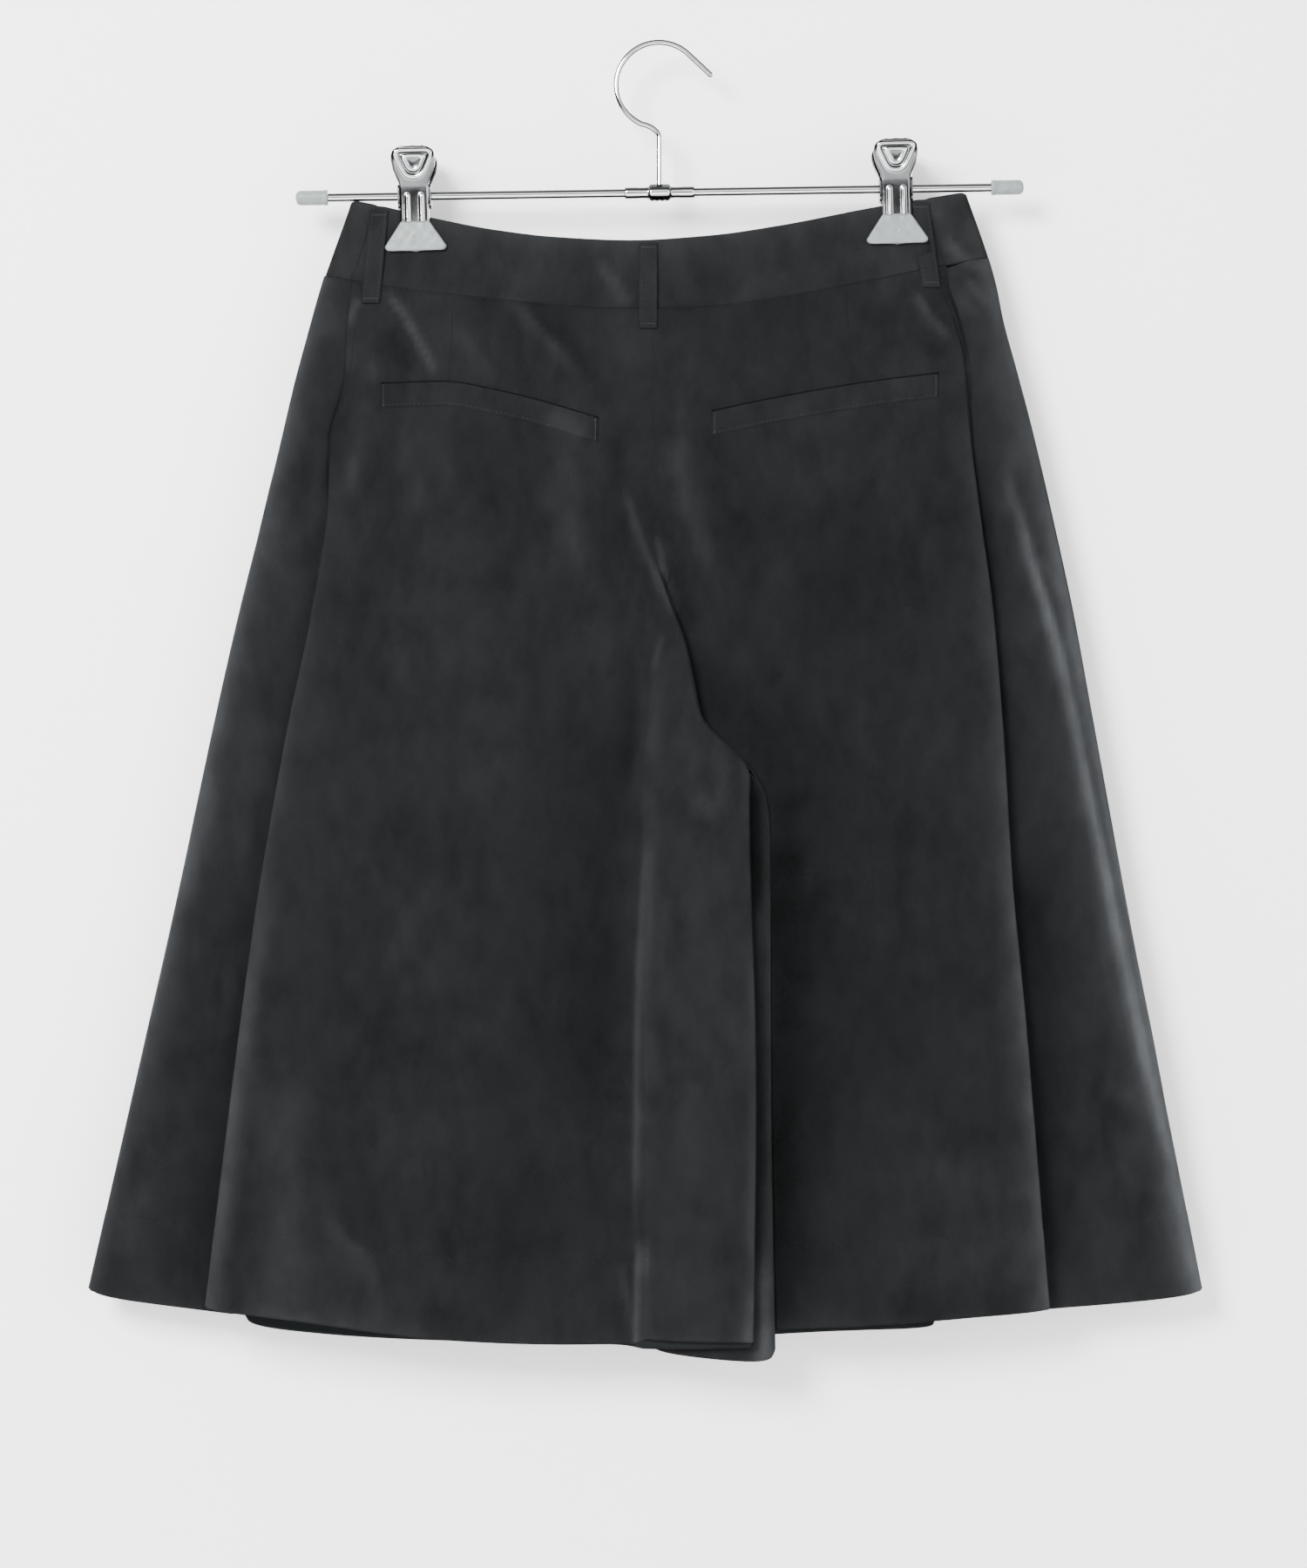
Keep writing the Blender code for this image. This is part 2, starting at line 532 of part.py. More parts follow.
def right_front_lines(level):
    fork = {name: read(FORKS, name, level) for name in FORKS}
    depth = DEPTHS["right"]
    layer = fork["layer"]
    folded = fork["front_fold"]
    split = fork["split"]
    seam = fork["right_seam"] - fork["inset"]
    plane = fork["near"] + 2 * layer
    far = fork["near"] + 5 * layer
    valley = np.minimum(fork["crest"] + FRONT_VALLEY_REACH, seam - 1.0)
    width = seam - valley
    front_fold = read(SIDES["right"], "front_fold", level)
    pit = read(depth, "pit", level)
    closing = fork["near"] + blend(1.5, 2.5, split) * layer
    turning = FRONT_TURNED_STEP * blend(1.0, -1.0, np.clip(2 * split, 0, 1))
    lines = wing_lines("right", level)
    lines["middle"] = (blend(front_fold, valley, 0.36), read(depth, "front_middle", level))
    lines["inner"] = (blend(front_fold, valley, 0.68), read(depth, "front_inner", level))
    flap = {
        "pit": (valley + PIT_REACH["right"], blend(far, pit, 0.4)),
        "fork_fold_back": (valley, far),
        "fork_fold_side": (valley - 0.6, blend(plane, far, 0.5)),
        "fork_fold": (valley, plane),
        "flap_root": (valley + corner(width), plane),
        "flap": (blend(valley, seam, 0.5), plane),
        "flap_edge": (seam - corner(width), plane),
        "seam_turn": (seam, blend(plane, closing, 0.6)),
        "seam": (seam, closing + turning),
    }
    rolling = ROLLING_STEP * 4 * folded * (1 - folded)
    for order, (name, (x, y)) in enumerate(reversed(flap.items())):
        flat_x = seam + SEAM_STEP + rolling + FRONT_FLAP_STEP * order
        flap[name] = (blend(flat_x, x, folded), blend(pit, y, folded))
    lines.update(flap)
    return lines


def hem_levels(names, hems):
    """A hem level for each line: named lines have their own, and the others lie evenly between."""
    places = [index for index, name in enumerate(names) if name in hems]
    return np.interp(range(len(names)), places, [hems[names[index]] for index in places])


def back_top(x):
    return across(BAND_SEAM, x)


def front_top(x):
    return across(BAND_SEAM, x) + front_dip(x)


def panel_grid(lines_at, top, hems):
    """Points of a panel's middle surface, in rows from the waist seam down to the hem."""
    names = list(lines_at(np.array([WAIST_LEVEL])))
    weights = spline_weights(names, PLAIN_LINES)
    hem = weights @ hem_levels(names, hems)
    start = np.full(len(weights), WAIST_LEVEL)
    for _ in range(3):  # the waist seam's level hangs on where the column crosses it
        lines = lines_at(start)
        x = sum(weights[:, index] * lines[name][0] for index, name in enumerate(names))
        start = top(x)
    points = np.zeros((len(PANEL_ROWS), len(weights), 3))
    for column, weight in enumerate(weights):
        levels = blend(start[column], hem[column], np.array(PANEL_ROWS))
        lines = lines_at(levels)
        for name, share in zip(names, weight):
            points[:, column, 0] += share * lines[name][0]
            points[:, column, 1] += share * lines[name][1]
        points[:, column, 2] = -levels
    return points


def band_depth(x, level, face):
    """Depth of the waistband's middle surface: face is -1 at the back and 1 at the front."""
    bulge = BAND_BULGE[face]
    low = np.clip((level - PAD_LEVEL) / (BAND_FOOT_LEVEL - PAD_LEVEL), 0, 1)
    spots, upper, lower = zip(*BAND_DEPTH)
    return face * bulge * blend(smooth(x, spots, upper), smooth(x, spots, lower), low)


def band_grid(spots, face):
    """Points of a stretch of band between two ends, from its upper edge to the waist seam."""
    points = np.zeros((len(BAND_ROWS), len(spots), 3))
    dip = 1.0 if face > 0 else 0.0
    for column, spot in enumerate(spots):
        lean = BAND_FLARE * spot / FRONT_REACH
        top = across(BAND_TOP, spot) + dip * front_dip(spot)
        foot = spot + lean * (across(BAND_SEAM, spot) + dip * front_dip(spot) - top)
        low = across(BAND_SEAM, foot) + dip * front_dip(foot) - BAND_GAP
        levels = blend(top, low, np.array(BAND_ROWS))
        points[:, column, 0] = spot + lean * (levels - top)
        points[:, column, 1] = band_depth(points[:, column, 0], levels, face)
        points[:, column, 2] = -levels
    return points


def front_band_grid(side):
    """Points of a front band, from the side seam round the outer edge to past the middle."""
    out = OUTWARD[side]
    start = BAND_SIDE_SEAMS[side] + out * SEAM_GAP
    edge = BAND_EDGES[side]
    back = band_grid(np.linspace(start, edge - out * EDGE_TURN, BAND_BACK_COLUMNS), -1)
    front = band_grid(np.linspace(edge - out * EDGE_TURN, -out * LAP, BAND_FRONT_COLUMNS), 1)
    if side == "right":  # this end laps over the other
        rise = np.clip((LAP + LAP_RAMP - front[:, :, 0]) / LAP_RAMP, 0, 1)
        front[:, :, 1] += LAP_LIFT * rise * rise * (3 - 2 * rise)
    turn = 0.5 * (back[:, -1:] + front[:, :1])
    turn[:, :, 0] += out * EDGE_TURN
    near = 0.5 * (back[:, -1:] + turn)
    far = 0.5 * (front[:, :1] + turn)
    for shoulder, layer in ((near, back[:, -1:]), (far, front[:, :1])):
        shoulder[:, :, 0] += 0.3 * out * EDGE_TURN
        shoulder[:, :, 1] = blend(shoulder[:, :, 1], layer[:, :, 1], 0.55)
    return np.concatenate([back, near, turn, far, front], axis=1)


def panel_depth(side, x, level):
    """Depth of a back panel's middle surface on its plain stretch."""
    lines_at = left_back_lines if side == "left" else right_back_lines
    lines = lines_at(np.array([level]))
    names = ("foot", "inner", "middle", "outer", "fold_shoulder", "fold")
    places = sorted((lines[name][0].item(), lines[name][1].item()) for name in names)
    return float(np.interp(x, *zip(*places)))


def back_skin(x, level):
    """Depth of the garment's outer face at the back: the band, and below its seam the panel."""
    if level < across(BAND_SEAM, x):
        return float(band_depth(x, level, -1)) - BAND_CLOTH / 2
    return panel_depth("left" if x < CENTRE_SEAM else "right", x, level) - CLOTH / 2


def front_skin(x, level):
    """Depth of the garment's outer face at the front waist."""
    if level < front_top(x):
        return float(band_depth(x, level, 1)) + BAND_CLOTH / 2
    lines_at = left_front_lines if x < 0 else right_front_lines
    lines = lines_at(np.array([level]))
    names = ("front_fold", "middle", "inner", "pit")
    places = sorted((lines[name][0].item(), lines[name][1].item()) for name in names)
    return float(np.interp(x, *zip(*places))) + CLOTH / 2


def grip_edge(side, level):
    """How far out a clip's grip and its clearance reach at a level, or the middle beside it."""
    height = BAR_LEVEL - level - CLIP_SPOTS[side] * math.sin(math.radians(BAR_TILT))
    if not PAD_BOTTOM - GRIP_MARGIN < height < PAD_TOP + GRIP_MARGIN:
        return 0.0
    share = np.clip((PAD_TOP - height) / (PAD_TOP - PAD_BOTTOM - PAD_CORNER), 0, 1)
    return CLIP_SPOTS[side] + blend(PAD_TOP_HALF, PAD_HALF, share) + GRIP_CLEARANCE


def strip_grid(ends, face):
    """Points of a belt loop from its upper to its lower end, standing off between them."""
    top_x, top_level, bottom_x, bottom_level = ends
    skin = back_skin if face < 0 else front_skin
    points = np.zeros((LOOP_ROWS, 3, 3))
    for row in range(LOOP_ROWS):
        share = row / (LOOP_ROWS - 1)
        x = blend(top_x, bottom_x, share)
        level = blend(top_level, bottom_level, share)
        away = SEAM_GAP + STRIP_CLOTH / 2 + LOOP_STAND * math.sin(math.pi * share) ** 2
        near_side = x - LOOP_WIDTH / 2
        if face < 0 < x:  # the right grip covers this loop's near edge
            near_side = max(near_side, grip_edge("right", level))
        sides = [near_side, x + 0.2 * LOOP_WIDTH, x + LOOP_WIDTH / 2]
        depth = face * max(face * skin(place, level) for place in sides)
        for column, place in enumerate(sides):
            points[row, column] = (place, depth + face * away, -level)
    return points


def welt_grid(side, edge):
    """Points of a pocket welt, which lies on its back panel under the pocket's upper edge."""
    points = np.zeros((3, WELT_COLUMNS, 3))
    for column, x in enumerate(np.linspace(edge[0][0], edge[-1][0], WELT_COLUMNS)):
        top = float(across(edge, x))
        for row in range(3):
            level = top + WELT_HEIGHT * row / 2
            depth = panel_depth(side, x, level) - CLOTH / 2 - WELT_GAP - STRIP_CLOTH / 2
            points[row, column] = (x, depth, -level)
    return points


def normals_of(points):
    """Unit normals of a grid of points."""
    down = np.gradient(points, axis=0)
    along = np.gradient(points, axis=1)
    normals = np.cross(along, down)
    return normals / np.linalg.norm(normals, axis=2, keepdims=True)


def finish_of(name, colour, roughness, metallic=0.0):
    made = bpy.data.materials.new(name)
    made.use_nodes = True
    shader = made.node_tree.nodes["Principled BSDF"]
    shader.inputs["Base Color"].default_value = (*colour, 1.0)
    shader.inputs["Roughness"].default_value = roughness
    shader.inputs["Metallic"].default_value = metallic
    return made


def solid(name, vertices, faces, finish, parent=None, smooth_angle=40.0):
    """An object from points in millimetres, with its faces turned outwards."""
    mesh = bpy.data.meshes.new(name)
    mesh.from_pydata([Vector(vertex) * MM for vertex in vertices], [], faces)
    work = bmesh.new()
    work.from_mesh(mesh)
    if work.calc_volume(signed=True) < 0:
        bmesh.ops.reverse_faces(work, faces=work.faces)
    work.to_mesh(mesh)
    work.free()
    mesh.materials.append(finish)
    mesh.shade_smooth()
    mesh.set_sharp_from_angle(angle=math.radians(smooth_angle))
    made = bpy.data.objects.new(name, mesh)
    made.parent = parent
    bpy.context.scene.collection.objects.link(made)
    return made


def wall(name, points, thickness, finish, parent=None):
    """A closed wall of even thickness round a grid of middle points."""
    normals = normals_of(points)
    rows, columns = points.shape[:2]
    outer = (points + normals * thickness / 2).reshape(-1, 3)
    inner = (points - normals * thickness / 2).reshape(-1, 3)
    count = rows * columns
    faces = []
    for row in range(rows - 1):
        for column in range(columns - 1):
            a = row * columns + column
            b = a + 1
            c = b + columns
            d = a + columns
            faces.append((a, b, c, d))
            faces.append((count + a, count + d, count + c, count + b))
    border = list(range(columns))
    border += [row * columns + columns - 1 for row in range(1, rows)]
    border += [(rows - 1) * columns + column for column in range(columns - 2, -1, -1)]
    border += [row * columns for row in range(rows - 2, 0, -1)]
    for here, after in zip(border, border[1:] + border[:1]):
        faces.append((here, count + here, count + after, after))
    return solid(name, np.concatenate([outer, inner]), faces, finish, parent)


def turned(name, profile, finish, parent, axis="x", closed=False, sides=ROUND_SIDES):
    """A turned piece: a profile of (along, radius) pairs spun round its axis."""
    vertices = []
    rings = []
    for along, radius in profile:
        ring = []
        steps = 1 if radius == 0 else sides
        for step in range(steps):
            angle = 2 * math.pi * step / sides
            across_axis = (radius * math.cos(angle), radius * math.sin(angle))
            ring.append(len(vertices))
            vertices.append((along, *across_axis) if axis == "x" else (across_axis[0], along, across_axis[1]))
        rings.append(ring)
    pairs = list(zip(rings, rings[1:] + rings[:1]))
    faces = []
    for ring, after in pairs if closed else pairs[:-1]:
        for step in range(sides):
            corners = (
                ring[step % len(ring)],
                ring[(step + 1) % len(ring)],
                after[(step + 1) % len(after)],
                after[step % len(after)],
            )
            faces.append(tuple(dict.fromkeys(corners)))
    return solid(name, vertices, faces, finish, parent)


def prism(name, outline, low, high, finish, parent, axis="y"):
    """A flat outline pushed from one place on an axis to another: (x, z) pairs for y, (y, z) for x."""
    count = len(outline)
    vertices = []
    for place in (low, high):
        for across_axis, z in outline:
            vertices.append((across_axis, place, z) if axis == "y" else (place, across_axis, z))
    faces = [tuple(range(count)), tuple(range(2 * count - 1, count - 1, -1))]
    for index in range(count):
        after = (index + 1) % count
        faces.append((index, count + index, count + after, after))
    return solid(name, vertices, faces, finish, parent)


def frame(name, location, tilt, parent=None):
    made = bpy.data.objects.new(name, None)
    made.location = Vector(location) * MM
    made.rotation_euler = (0.0, math.radians(-tilt), 0.0)
    made.parent = parent
    bpy.context.scene.collection.objects.link(made)
    return made


def build_garment():
    cloth = finish_of("dark_velvety_cloth", (0.012, 0.016, 0.017), 0.9)
    horn = finish_of("dark_button", (0.02, 0.02, 0.022), 0.35)
    for name, lines_at, top in (
        ("back_left", left_back_lines, back_top),
        ("back_right", right_back_lines, back_top),
        ("front_left", left_front_lines, front_top),
        ("front_right", right_front_lines, front_top),
    ):
        face, side = name.split("_")
        wall(f"{face}_panel_{side}", panel_grid(lines_at, top, HEMS[name]), CLOTH, cloth)
    spots = np.linspace(BAND_SIDE_SEAMS["left"], BAND_SIDE_SEAMS["right"], BAND_COLUMNS)
    wall("waistband_back", band_grid(spots, -1), BAND_CLOTH, cloth)
    for side in OUTWARD:
        wall(f"waistband_front_{side}", front_band_grid(side), BAND_CLOTH, cloth)
    for face, loops in ((-1, BACK_LOOPS), (1, FRONT_LOOPS)):
        for name, ends in loops.items():
            wall(name, strip_grid(ends, face), STRIP_CLOTH, cloth)
    for side, edge in WELT_EDGES.items():
        wall(f"pocket_welt_{side}", welt_grid(side, edge), STRIP_CLOTH, cloth)
    depth = float(band_depth(0.0, BUTTON_LEVEL, 1)) + LAP_LIFT + BAND_CLOTH / 2 + BUTTON_GAP
    top = depth + BUTTON_THICKNESS
    profile = (
        (depth, 0),
        (depth, BUTTON_RADIUS - BUTTON_CHAMFER),
        (depth + BUTTON_CHAMFER, BUTTON_RADIUS),
        (top - BUTTON_ROUND, BUTTON_RADIUS),
        (top, BUTTON_RADIUS - BUTTON_ROUND),
        (top, BUTTON_RADIUS - BUTTON_RIM),
        (top - BUTTON_DISH, BUTTON_RADIUS - BUTTON_RIM - BUTTON_ROUND),
        (top - BUTTON_DISH, 0),
    )
    spot = frame("button_spot", (0.0, 0.0, -BUTTON_LEVEL), 0.0)
    turned("waist_button", profile, horn, spot, axis="y", sides=BUTTON_SIDES)


def hook_route():
    """The hook wire's middle line: the tip, the round crown, then a bend into the upright stem."""
    centre_x, centre_z = HOOK_CENTRE
    route = []
    tip = math.radians(HOOK_TIP_ANGLE)
    for share in (1.0, 0.5):
        route.append((
            centre_x + HOOK_RADIUS * math.cos(tip) + share * HOOK_TIP * math.sin(tip),
            centre_z + HOOK_RADIUS * math.sin(tip) - share * HOOK_TIP * math.cos(tip),
        ))  # fmt: skip
    for angle in np.radians(np.linspace(HOOK_TIP_ANGLE, HOOK_FOOT_ANGLE, HOOK_STEPS)):
        route.append((centre_x + HOOK_RADIUS * math.cos(angle), centre_z + HOOK_RADIUS * math.sin(angle)))
    foot_x, foot_z = route[-1]
    for share in np.linspace(0, 1, BEND_STEPS + 1)[1:]:
        swing = math.sin(0.5 * math.pi * share)
        drop = 1 - math.cos(0.5 * math.pi * share)
        route.append((blend(foot_x, STEM_X, swing), blend(foot_z, STEM_TOP, 0.25 * swing + 0.75 * drop)))
    route.append((STEM_X, COLLAR_RADIUS + SEAM_GAP - BAR_LEVEL))
    return route


def build_hook(chrome):
    curve = bpy.data.curves.new("hook_wire", "CURVE")
    curve.dimensions = "3D"
    curve.bevel_depth = HOOK_WIRE / 2 * MM
    curve.bevel_resolution = 2
    curve.use_fill_caps = True
    route = hook_route()
    spline = curve.splines.new("POLY")
    spline.points.add(len(route) - 1)
    for point, (x, z) in zip(spline.points, route):
        point.co = (x * MM, 0.0, z * MM, 1.0)
    curve.materials.append(chrome)
    made = bpy.data.objects.new("hanger_hook", curve)
    bpy.context.scene.collection.objects.link(made)


def lever_grid(face, ears):
    """Points of a clip's lever, from the thumb piece down to where its grip starts."""
    points = []
    for height, half_width, depth in LEVER:
        if ears and EAR_BOTTOM <= height <= EAR_TOP:
            half_width = EAR_X + LEVER_PLATE / 2
        points.append([(x, face * depth, height) for x in (-half_width, 0.0, half_width)])
    return np.array(points)


def grip_outline():
    """A grip pad seen from the front: a triangle cut off at the lever, with two round corners."""
    outline = [(-PAD_TOP_HALF, PAD_TOP), (PAD_TOP_HALF, PAD_TOP)]
    reach = PAD_HALF - PAD_CORNER
    for corner, first, last in ((reach, 30, -90), (-reach, -90, -210)):
        for angle in np.radians(np.linspace(first, last, PAD_CORNER_STEPS)):
            x = corner + PAD_CORNER * math.cos(angle)
            outline.append((x, PAD_BOTTOM + PAD_CORNER + PAD_CORNER * math.sin(angle)))
    return outline


def hide_tool(tool):
    tool.hide_render = True
    tool.display_type = "WIRE"


def join_ears(lever, side, bar, finish):
    """Ears bent forward from the back lever, with a hole that the bar runs through."""
    ends = ((-BAR_HALF, 0), (-BAR_HALF, BORE), (BAR_HALF, BORE), (BAR_HALF, 0))
    bore = turned(f"bore_{side}", ends, finish, bar)
    bore.location.x = -CLIP_SPOTS[side] * MM
    bore.parent = lever.parent
    hide_tool(bore)
    outline = (
        (EAR_FRONT, EAR_BOTTOM + EAR_LOW_CUT),
        (EAR_FRONT + EAR_LOW_CUT, EAR_BOTTOM),
        (EAR_ROOT, EAR_BOTTOM),
        (EAR_ROOT, EAR_TOP),
        (EAR_FRONT + EAR_TOP_CUT, EAR_TOP),
        (EAR_FRONT, EAR_TOP - EAR_TOP_CUT),
    )
    for out in OUTWARD.values():
        low = out * EAR_X - LEVER_PLATE / 2
        ear = prism(f"ear_{side}_{out:g}", outline, low, low + LEVER_PLATE, finish, lever.parent, axis="x")
        hide_tool(ear)
        joined = lever.modifiers.new("ear", "BOOLEAN")
        joined.operation = "UNION"
        joined.object = ear
    cut = lever.modifiers.new("bore", "BOOLEAN")
    cut.operation = "DIFFERENCE"
    cut.object = bore


def build_clip(side, bar, chrome, rubber, steel):
    clip = frame(f"clip_{side}", (CLIP_SPOTS[side], 0.0, 0.0), CLIP_LEAN, bar)
    wall(f"clip_{side}_front_lever", lever_grid(-1, False), LEVER_PLATE, chrome, clip)
    back = wall(f"clip_{side}_back_lever", lever_grid(1, True), LEVER_PLATE, chrome, clip)
    join_ears(back, side, bar, chrome)
    for name, face in (("front", -1), ("back", 1)):
        depths = sorted((face * PAD_INNER, face * PAD_OUTER))
        prism(f"clip_{side}_{name}_grip", grip_outline(), *depths, rubber, clip)
    coil = ((-SPRING_HALF, BORE), (-SPRING_HALF, SPRING_RADIUS), (SPRING_HALF, SPRING_RADIUS),
            (SPRING_HALF, BORE))  # fmt: skip
    turned(f"clip_{side}_spring", coil, steel, clip, closed=True)


def build_hanger():
    chrome = finish_of("bright_steel", (0.75, 0.76, 0.78), 0.12, 1.0)
    steel = finish_of("spring_steel", (0.5, 0.5, 0.52), 0.3, 1.0)
    rubber = finish_of("grey_soft_plastic", (0.42, 0.45, 0.45), 0.5)
    build_hook(chrome)
    bar = frame("bar_frame", (0.0, 0.0, -BAR_LEVEL), BAR_TILT)
    ends = ((-BAR_HALF, 0), (-BAR_HALF, BAR_RADIUS), (BAR_HALF, BAR_RADIUS), (BAR_HALF, 0))
    turned("hanger_bar", ends, chrome, bar)
    collar = ((-JOINT_HALF, BORE), (-JOINT_HALF, JOINT_RADIUS), (-COLLAR_HALF, JOINT_RADIUS),
              (-COLLAR_HALF, COLLAR_RADIUS), (COLLAR_HALF, COLLAR_RADIUS),
              (COLLAR_HALF, JOINT_RADIUS), (JOINT_HALF, JOINT_RADIUS), (JOINT_HALF, BORE))  # fmt: skip
    turned("hanger_joint", collar, chrome, bar, closed=True)
    for side, out in OUTWARD.items():
        tip = CAP_START + CAP_LENGTH
        cap = [(BAR_HALF + SEAM_GAP, 0), (BAR_HALF + SEAM_GAP, BORE), (CAP_START, BORE),
               (CAP_START, CAP_RADIUS - CAP_LIP), (CAP_START + CAP_LIP, CAP_RADIUS),
               (tip - CAP_TIP, CAP_RADIUS), (tip - 0.3 * CAP_TIP, CAP_RADIUS - 0.4 * CAP_TIP),
               (tip, CAP_RADIUS - CAP_TIP), (tip, 0)]  # fmt: skip
        turned(f"hanger_cap_{side}", [(out * along, radius) for along, radius in cap], rubber, bar)
        build_clip(side, bar, chrome, rubber, steel)


for old in list(bpy.data.objects):
    bpy.data.objects.remove(old, do_unlink=True)
build_garment()
build_hanger()
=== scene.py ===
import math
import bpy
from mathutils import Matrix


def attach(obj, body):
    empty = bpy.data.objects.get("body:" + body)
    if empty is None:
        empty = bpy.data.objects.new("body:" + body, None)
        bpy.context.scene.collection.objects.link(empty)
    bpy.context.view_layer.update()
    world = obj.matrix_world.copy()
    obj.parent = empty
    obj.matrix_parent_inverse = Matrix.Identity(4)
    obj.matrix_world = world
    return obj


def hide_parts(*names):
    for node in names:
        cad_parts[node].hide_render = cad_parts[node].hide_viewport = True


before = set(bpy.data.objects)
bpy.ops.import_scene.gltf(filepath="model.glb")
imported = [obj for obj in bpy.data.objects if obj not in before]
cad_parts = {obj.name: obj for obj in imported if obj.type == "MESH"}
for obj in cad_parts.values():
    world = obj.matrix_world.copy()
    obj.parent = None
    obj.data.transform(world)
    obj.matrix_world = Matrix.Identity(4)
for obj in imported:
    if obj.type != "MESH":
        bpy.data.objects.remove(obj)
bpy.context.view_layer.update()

# %% [markdown]
# # Culottes on a clip hanger
#
# Culottes are wide knee-length trousers cut like a flared skirt. These are dark, short-piled cloth
# (a velveteen or moleskin), hung by the waistband from a steel hanger with two clips. The cloth is
# stiff enough to keep big flat folds, and its pile shows every place where it was brushed or pressed.
#
# The script works in millimetres. A *level* is a distance down from the hook, and a *depth* is a
# distance in +Y. The garment's back faces -Y, towards the camera, and its front faces +Y.

# %% Shared tools
from types import SimpleNamespace

import bmesh
import bpy
import numpy as np
from mathutils import Matrix, Vector
from mathutils.bvhtree import BVHTree

MM = 0.001
SCENE = bpy.context.scene
OUTWARD = {"left": -1.0, "right": 1.0}


def blend(a, b, share):
    return a + (b - a) * share


def keep(name, mesh, *finishes):
    """A new object for a finished mesh, with its finishes."""
    for finish in finishes:
        mesh.materials.append(finish)
    made = bpy.data.objects.new(name, mesh)
    SCENE.collection.objects.link(made)
    return made


# %% Helpers for node trees


def socket(group, name, kind, way, value=None):
    made = group.interface.new_socket(name=name, in_out=way, socket_type=kind)
    if value is not None:
        made.default_value = value


def feed(tree, node, inputs):
    """Puts a value or a link into each of these inputs of a node."""
    for name, value in inputs.items():
        if isinstance(value, bpy.types.NodeSocket):
            tree.links.new(value, node.inputs[name])
        else:
            node.inputs[name].default_value = value
    return node


def add(tree, kind, inputs=(), **settings):
    """A new node with its settings and its inputs."""
    node = tree.nodes.new(kind)
    for name, value in settings.items():
        setattr(node, name, value)
    return feed(tree, node, dict(inputs))


def start_finish(name):
    """A new material with its node tree and its shader."""
    made = bpy.data.materials.new(name)
    made.use_nodes = True
    return made, made.node_tree, made.node_tree.nodes["Principled BSDF"]


# %% [markdown]
# ## Camera, wall and light
#
# The hanger hangs straight before the camera, 1.9 m away, with a long lens, so that nothing looks
# bent. A pale wall behind it catches soft shadows. The wall can only be seen from its front: its
# material turns clear on its back faces, so the views from behind still show the garment.

# %% Camera
LENS, SENSOR = 79.2, 36
DISTANCE = 1.9
camera = bpy.data.objects.new("camera", bpy.data.cameras.new("camera"))
camera.data.lens = LENS
camera.data.sensor_width = SENSOR
camera.location = (-0.0034, -DISTANCE, -0.407)
camera.rotation_euler = (math.radians(90), 0, 0)
SCENE.collection.objects.link(camera)
SCENE.camera = camera
print("camera sees", round(DISTANCE * SENSOR / LENS, 3), "m from top to bottom")

# %% Wall and floor
WALL_DEPTH, WALL_TOP, WALL_HALF = 0.026, 1.6, 2.6
FLOOR_LEVEL, FLOOR_REACH = 0.93, 3.2
BEND = 0.12  # radius where the wall turns into the floor
BEND_STEPS = 8


def stage_paint():
    """Pale paint that is clear from behind."""
    made, tree, paint = start_finish("wall paint")
    feed(tree, paint, {"Base Color": (0.88, 0.88, 0.88, 1), "Roughness": 0.9, "Specular IOR Level": 0.2})
    behind = add(tree, "ShaderNodeNewGeometry").outputs["Backfacing"]
    clear = add(tree, "ShaderNodeBsdfTransparent").outputs["BSDF"]
    mix = add(tree, "ShaderNodeMixShader", {"Fac": behind, 1: paint.outputs["BSDF"], 2: clear})
    feed(tree, tree.nodes["Material Output"], {"Surface": mix.outputs["Shader"]})
    return made


def build_stage():
    """A wall that bends forward into a floor below the hem."""
    profile = [(WALL_DEPTH, WALL_TOP), (WALL_DEPTH, -FLOOR_LEVEL + BEND)]
    for angle in np.radians(90) * np.arange(1, BEND_STEPS + 1) / BEND_STEPS:
        forward, up = BEND * (1 - math.cos(angle)), BEND * (1 - math.sin(angle))
        profile.append((WALL_DEPTH - forward, up - FLOOR_LEVEL))
    profile.append((-FLOOR_REACH, -FLOOR_LEVEL))
    corners = [(x, y, z) for x in (-WALL_HALF, WALL_HALF) for y, z in profile]
    count = len(profile)
    faces = [(i, i + 1, count + i + 1, count + i) for i in range(count - 1)]
    mesh = bpy.data.meshes.new("wall")
    mesh.from_pydata(corners, [], faces)
    mesh.shade_smooth()
    wall = keep("wall", mesh, stage_paint())
    return wall


WALL = build_stage()

# %% Light: a large soft source high on the left, and a pale room all round
AIM = Vector((0, 0, -0.4))
ROOM_STRENGTH = 1.75
# height in the mirrored room, from 0 below to 1 above, and how light it is there
ROOM_GREYS = ((0.30, 0.55), (0.38, 0.06), (0.50, 0.035), (0.56, 0.10), (0.62, 1.5), (0.74, 1.2), (0.80, 0.25))


def soft_light(name, place, size, power, colour=(1, 1, 1)):
    light = bpy.data.lights.new(name, "AREA")
    light.shape = "RECTANGLE"
    light.size = light.size_y = size
    light.energy = power
    light.color = colour
    made = bpy.data.objects.new(name, light)
    made.location = place
    made.rotation_euler = (AIM - Vector(place)).to_track_quat("-Z", "Y").to_euler()
    SCENE.collection.objects.link(made)
    return made


